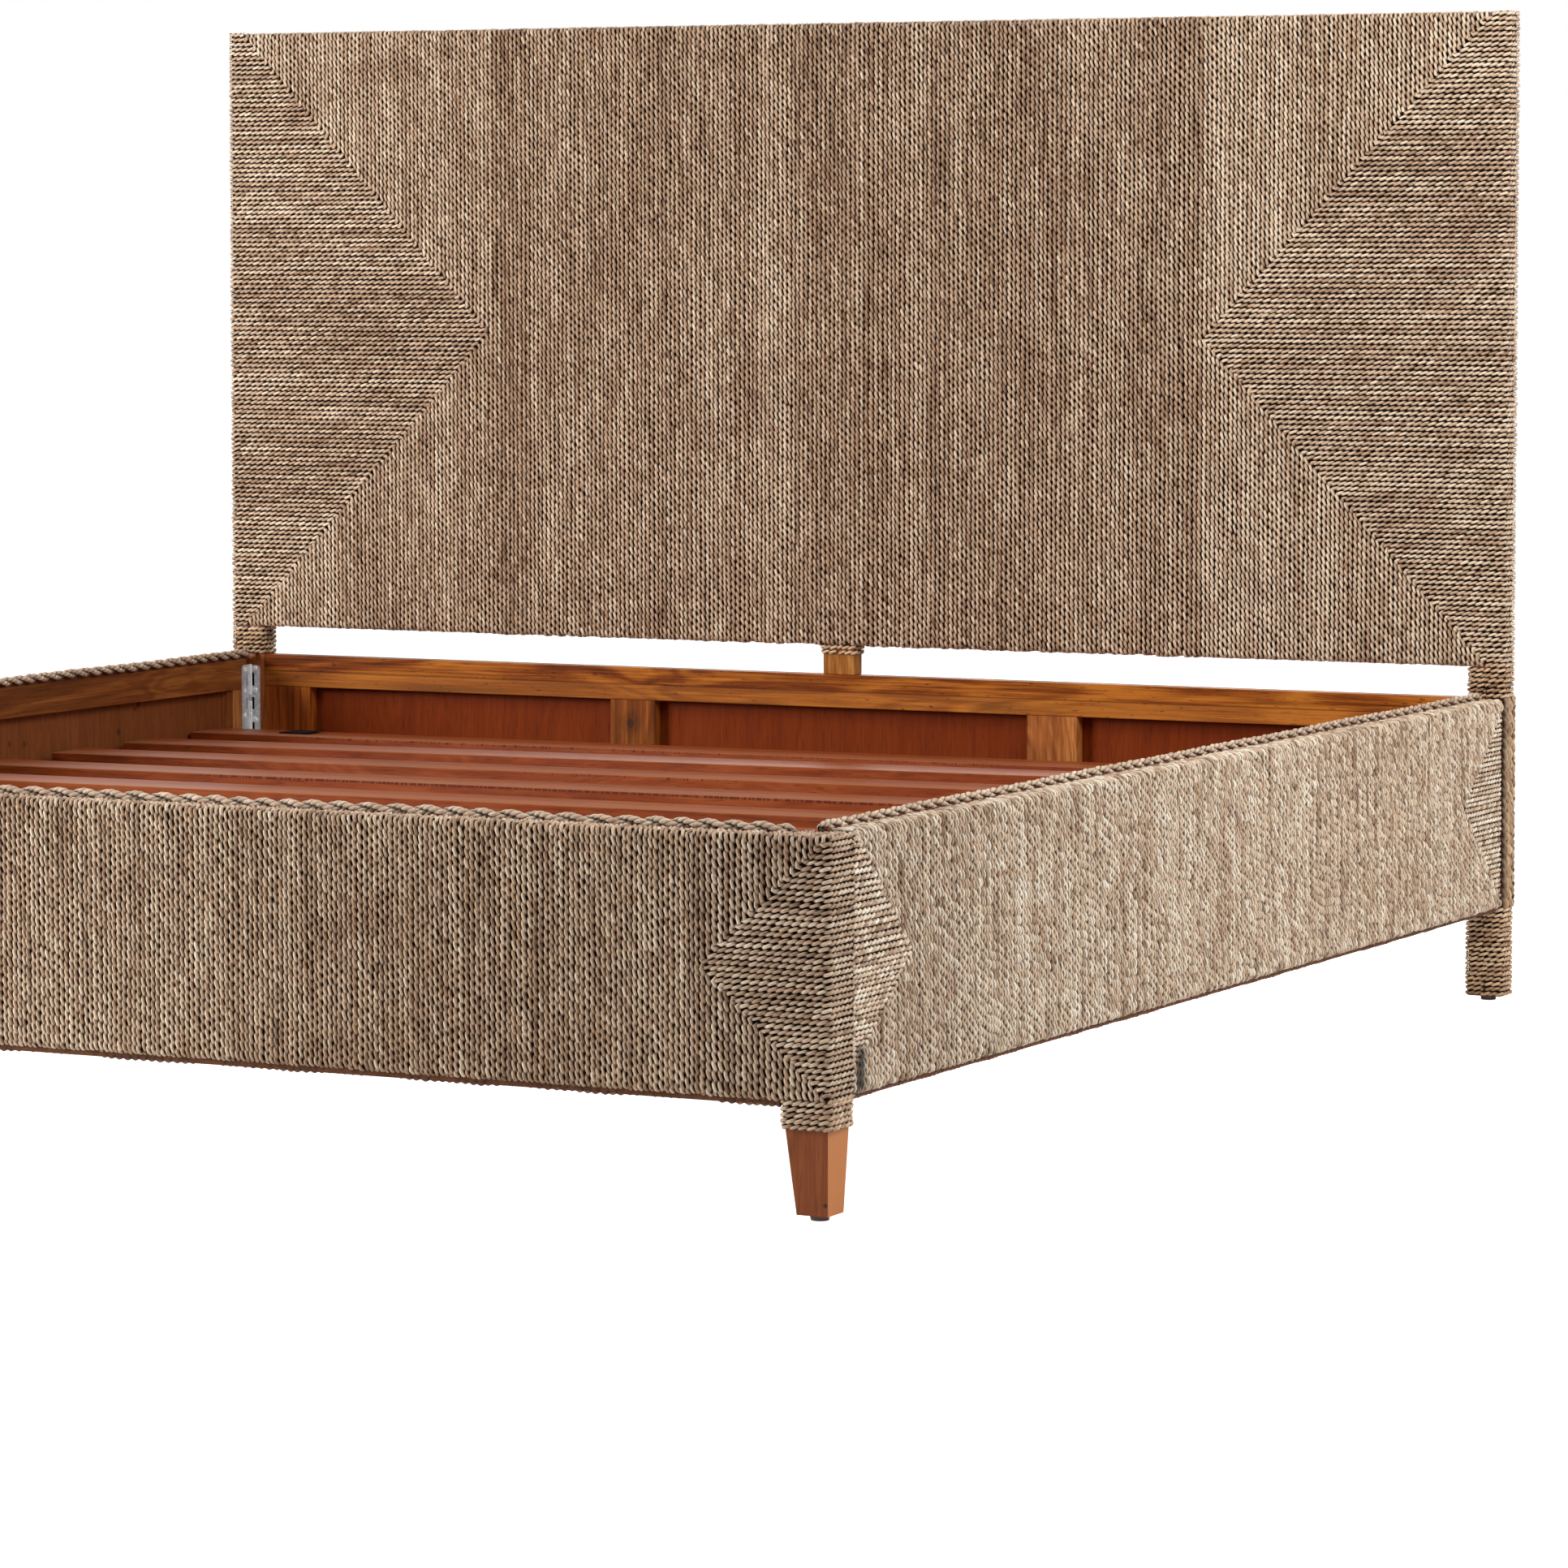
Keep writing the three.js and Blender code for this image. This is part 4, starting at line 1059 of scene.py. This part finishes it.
def screw(R=4.3, dome=1.5, rings=11, seg=40):
    """Cross-recessed screw head, facing +third axis."""
    V, F = [(0.0, 0.0, dome - 1.0)], []
    for i in range(1, rings + 1):
        r = R * i / rings
        for k in range(seg):
            al = 2 * math.pi * k / seg + 0.3
            x, y = r * math.cos(al), r * math.sin(al)
            h = dome * (1 - (r / R) ** 2.4)
            cx, cy = r * math.cos(al - 0.3), r * math.sin(al - 0.3)
            if (abs(cx) < 0.62 and abs(cy) < 2.5) or (abs(cy) < 0.62 and abs(cx) < 2.5):
                h -= 1.0
            V.append((x, y, h))
    for k in range(seg):
        F.append((0, 1 + k, 1 + (k + 1) % seg))
    for i in range(rings - 1):
        for k in range(seg):
            a = 1 + i * seg + k
            b = 1 + i * seg + (k + 1) % seg
            F.append((a, a + seg, b + seg, b))
    return np.array(V), F


def bar(x0, x1, y0, y1, z0, z1, e=0.7):
    """Bar with eased long edges and rounded top, as vertices and faces."""
    V, F = [], []
    sect = [(x0 + e, y0), (x1 - e, y0), (x1, y0 + e), (x1, y1 - e), (x1 - e, y1), (x0 + e, y1), (x0, y1 - e), (x0, y0 + e)]
    cx, cy = (x0 + x1) / 2, (y0 + y1) / 2
    levels = [(z0, 0.6), (z0 + 1.0, 1.0), (z1 - 1.4, 1.0), (z1 - 0.5, 0.8), (z1, 0.45)]
    for z, k in levels:
        for x, y in sect:
            V.append((cx + (x - cx) * k, cy + (y - cy) * k, z))
    m = len(sect)
    for i in range(len(levels) - 1):
        for k in range(m):
            F.append((i * m + k, i * m + (k + 1) % m, (i + 1) * m + (k + 1) % m, (i + 1) * m + k))
    F.append(tuple(range(m))[::-1])
    F.append(tuple(range((len(levels) - 1) * m, len(levels) * m)))
    return np.array(V), F


def bracket(node, sgn, yface, ydir, reach, xin):
    """Plates on the post and on the inside of the rail, with their hook flanges and screws.
    b runs from the face of the post plate along the rail."""
    V, F, MI = [], [], []
    n = 0

    def put(pts, faces, mi=0):
        nonlocal n
        q = np.empty_like(pts)
        q[:, 0] = sgn * pts[:, 0]
        q[:, 1] = yface + ydir * pts[:, 1]
        q[:, 2] = pts[:, 2]
        V.append(q)
        flip = sgn * ydir < 0
        for f in faces:
            f = tuple(n + k for k in f)
            F.append(f[::-1] if flip else f)
            MI.append(mi)
        n += len(pts)

    z0, z1 = 285.4, 397.0
    holes = [outline(975.3, 980.6, a, b, 2.4, 2.4, 4)[::-1] for a, b in ((365.5, 386.0), (330.0, 349.0), (290.0, 311.0))]
    v, f = plate(outline(xin, 982.0, z0, z1, 5.5, 1.0), holes, 2.3)
    put(np.stack([v[:, 0], v[:, 2] - 1.25, v[:, 1]], 1), f)
    # a black bar behind the slots of the post plate: painted shade of the hollow behind them
    v, f = bar(974.8, 981.4, -2.35, -2.05, 287.0, 389.0, 0.1)
    put(v, f, 1)
    holes = [outline(12.2, 15.2, a, b, 1.4, 1.4, 4)[::-1] for a, b in ((364.0, 384.0), (331.0, 349.0))]
    v, f = plate(outline(-1.0, reach, z0, z1 + 1.5, 7.0, 1.0), holes, 2.3)
    put(np.stack([980.45 + v[:, 2], v[:, 0], v[:, 1]], 1), f)
    # a black bar behind the openings of the rail plate: painted shade of the hollow behind them
    v, f = bar(981.55, 981.7, 11.0, 16.5, 330.0, 386.0, 0.05)
    put(v, f, 1)
    # hook flanges at the corner, in a whiter zinc as painted highlight
    for a, b in ((352.5, 399.0), (286.0, 343.0)):
        v, f = bar(975.6, 979.6, 4.6, 8.4, a, b)
        put(v, f, 2)
    # screws in the whiter zinc: painted highlight
    sv, sf = screw()
    for z in (392.1, 359.3, 314.6):
        w = sv.copy()
        put(np.stack([973.6 + w[:, 0], 0.1 + w[:, 2], z + w[:, 1]], 1), [q[::-1] for q in sf], 2)
    for z, b in ((391.0, 18.4), (359.0, 18.9), (322.3, 19.2)):
        w = sv * 0.95
        put(np.stack([979.2 - w[:, 2], b + w[:, 0], z + w[:, 1]], 1), [q[::-1] for q in sf], 2)
    me = bpy.data.meshes.new(node + "_plates")
    me.from_pydata([tuple(c * MM for c in q) for q in np.concatenate(V)], [], F)
    me.materials.append(M_ZINC)
    me.materials.append(M_SHADE_RECESS)
    me.materials.append(M_ZINC_HIGHLIGHT)
    me.polygons.foreach_set("material_index", MI)
    me.update()
    for pg in me.polygons:
        pg.use_smooth = False
    ob = bpy.data.objects.new(node + "_plates", me)
    scene.collection.objects.link(ob)
    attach(ob, ROOT)
    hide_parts(node)


for tag, sgn in (("left", -1), ("right", 1)):
    bracket(f"bracket_head_{tag}", sgn, 1016.7, -1, 26.7, 966.2)
    lo_b, hi_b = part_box(f"bracket_foot_{tag}")
    yf0 = float(lo_b[1]) * 1000 + 2.2
    bracket(f"bracket_foot_{tag}", sgn, yf0, 1, float(hi_b[1]) * 1000 - yf0, 964.2)

# ------------------------------------------------------- felt pad on slat 1
def pad():
    nx, ny = 12, 10
    V, F = [], []
    x0, x1, y0, y1, zt = -864.0, -814.0, 905.0, 948.0, 306.2
    for j in range(ny + 1):
        for i in range(nx + 1):
            a, b = i / nx, j / ny
            lift = 3.2 * max(0.0, a - 0.62) ** 1.4 * (0.4 + 0.6 * b) * 3
            V.append((x0 + (x1 - x0) * a + 3 * b, y0 + (y1 - y0) * b, zt + 0.2 + lift))
    m = len(V)
    for j in range(ny + 1):
        for i in range(nx + 1):
            x, y, z = V[j * (nx + 1) + i]
            edge_ = i in (0, nx) or j in (0, ny)
            V.append((x, y, z + (1.6 if edge_ else 2.4)))
    for j in range(ny):
        for i in range(nx):
            a = j * (nx + 1) + i
            F.append((a, a + nx + 1, a + nx + 2, a + 1))
            F.append((m + a, m + a + 1, m + a + nx + 2, m + a + nx + 1))
    ring = [i for i in range(nx + 1)] + [j * (nx + 1) + nx for j in range(1, ny + 1)] + \
        [ny * (nx + 1) + i for i in range(nx - 1, -1, -1)] + [j * (nx + 1) for j in range(ny - 1, 0, -1)]
    for k in range(len(ring)):
        a, b = ring[k], ring[(k + 1) % len(ring)]
        F.append((a, b, b + m, a + m))
    me = bpy.data.meshes.new("slat_pad")
    me.from_pydata([tuple(c * MM for c in q) for q in V], [], F)
    me.materials.append(plain_material("felt_black", c255(24, 20, 19), 0.95, noise=0.25, scale=900, spec=0.08))
    ob = bpy.data.objects.new("slat_pad", me)
    scene.collection.objects.link(ob)
    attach(ob, "slat_01")


pad()

# ----------------------------------------------------------- floor, light
me = bpy.data.meshes.new("floor")
S = 30.0
me.from_pydata([(-S, -S, 0), (S, -S, 0), (S, S, 0), (-S, S, 0)], [], [(0, 1, 2, 3)])
nf = Net("floor_white")
nf.set("Base Color", (0.90, 0.90, 0.90))
nf.set("Roughness", 0.9)
nf.set("Specular IOR Level", 0.0)
# a white sweep: the floor is lit evenly, so it shows as white paper does
lp = nf.node("ShaderNodeLightPath")
em = nf.node("ShaderNodeEmission")
em.inputs[0].default_value = (1, 1, 1, 1)
nf.put(nf.math("MULTIPLY", lp.outputs["Is Camera Ray"], FLOOR_GLOW), em.inputs[1])
ad = nf.node("ShaderNodeAddShader")
nf.nt.links.new(nf.bsdf.outputs[0], ad.inputs[0])
nf.nt.links.new(em.outputs[0], ad.inputs[1])
nf.nt.links.new(ad.outputs[0], nf.out.inputs[0])
me.materials.append(nf.mat)
floor = bpy.data.objects.new("floor", me)
scene.collection.objects.link(floor)

world = bpy.data.worlds.new("studio")
scene.world = world
world.use_nodes = True
wt = world.node_tree
bg = wt.nodes["Background"]
bg.inputs[0].default_value = (1, 1, 1, 1)
wl = wt.nodes.new("ShaderNodeLightPath")
wm = wt.nodes.new("ShaderNodeMath")
wm.operation = "MULTIPLY_ADD"
wm.inputs[1].default_value = 1.0 - AMBIENT
wm.inputs[2].default_value = AMBIENT
wx = wt.nodes.new("ShaderNodeMath")
wx.operation = "MAXIMUM"
wt.links.new(wl.outputs["Is Camera Ray"], wx.inputs[0])
wt.links.new(wl.outputs["Is Glossy Ray"], wx.inputs[1])
wt.links.new(wx.outputs[0], wm.inputs[0])
wt.links.new(wm.outputs[0], bg.inputs[1])


def area(name, loc, target, size, power, color=(1, 1, 1), spread=math.pi):
    li = bpy.data.lights.new(name, "AREA")
    li.shape = "RECTANGLE"
    li.size, li.size_y = size
    li.energy = power
    li.color = color
    li.spread = spread
    ob = bpy.data.objects.new(name, li)
    ob.location = loc
    d = np.array(target) - np.array(loc)
    d = d / np.linalg.norm(d)
    from mathutils import Vector
    ob.rotation_euler = Vector(d).to_track_quat("-Z", "Y").to_euler()
    scene.collection.objects.link(ob)
    return ob


area("key_right", (5.4, 2.2, 3.2), (0.9, 0.4, 0.3), (3.5, 3.0), 84)
area("right_soft", (2.9, -0.7, 2.5), (1.0, 1.0, 0.8), (1.5, 1.5), 69)
area("left_soft", (-3.0, -2.5, 1.5), (-0.7, -0.9, 0.35), (1.6, 1.6), 172)
area("top", (0.0, 0.3, 6.0), (0.0, 0.0, 0.3), (4.0, 4.0), 60)
area("back", (-1.5, 5.5, 3.0), (0.0, 1.0, 0.6), (3.0, 2.0), 130)

# ---------------------------------------------------------------- camera
cam = bpy.data.cameras.new("camera")
cam.sensor_width = 36.0
cam.lens = 7388.49 / 1932.0 * 36.0
cam.shift_x = 0.0
cam.shift_y = (813.1 - 966.0) / 1932.0
cam.clip_end = 100.0
co = bpy.data.objects.new("camera", cam)
yaw, pit = math.radians(26.6467), math.radians(4.0)
fwd = np.array([-math.sin(yaw) * math.cos(pit), math.cos(yaw) * math.cos(pit), -math.sin(pit)])
right = np.array([math.cos(yaw), math.sin(yaw), 0.0])
upv = np.cross(right, fwd)
from mathutils import Matrix
M = Matrix(((right[0], upv[0], -fwd[0], 3.7799), (right[1], upv[1], -fwd[1], -6.6798),
            (right[2], upv[2], -fwd[2], 1.0350), (0, 0, 0, 1)))
co.matrix_world = M
scene.collection.objects.link(co)
scene.camera = co

scene.view_settings.view_transform = "Standard"
scene.view_settings.exposure = 0.0
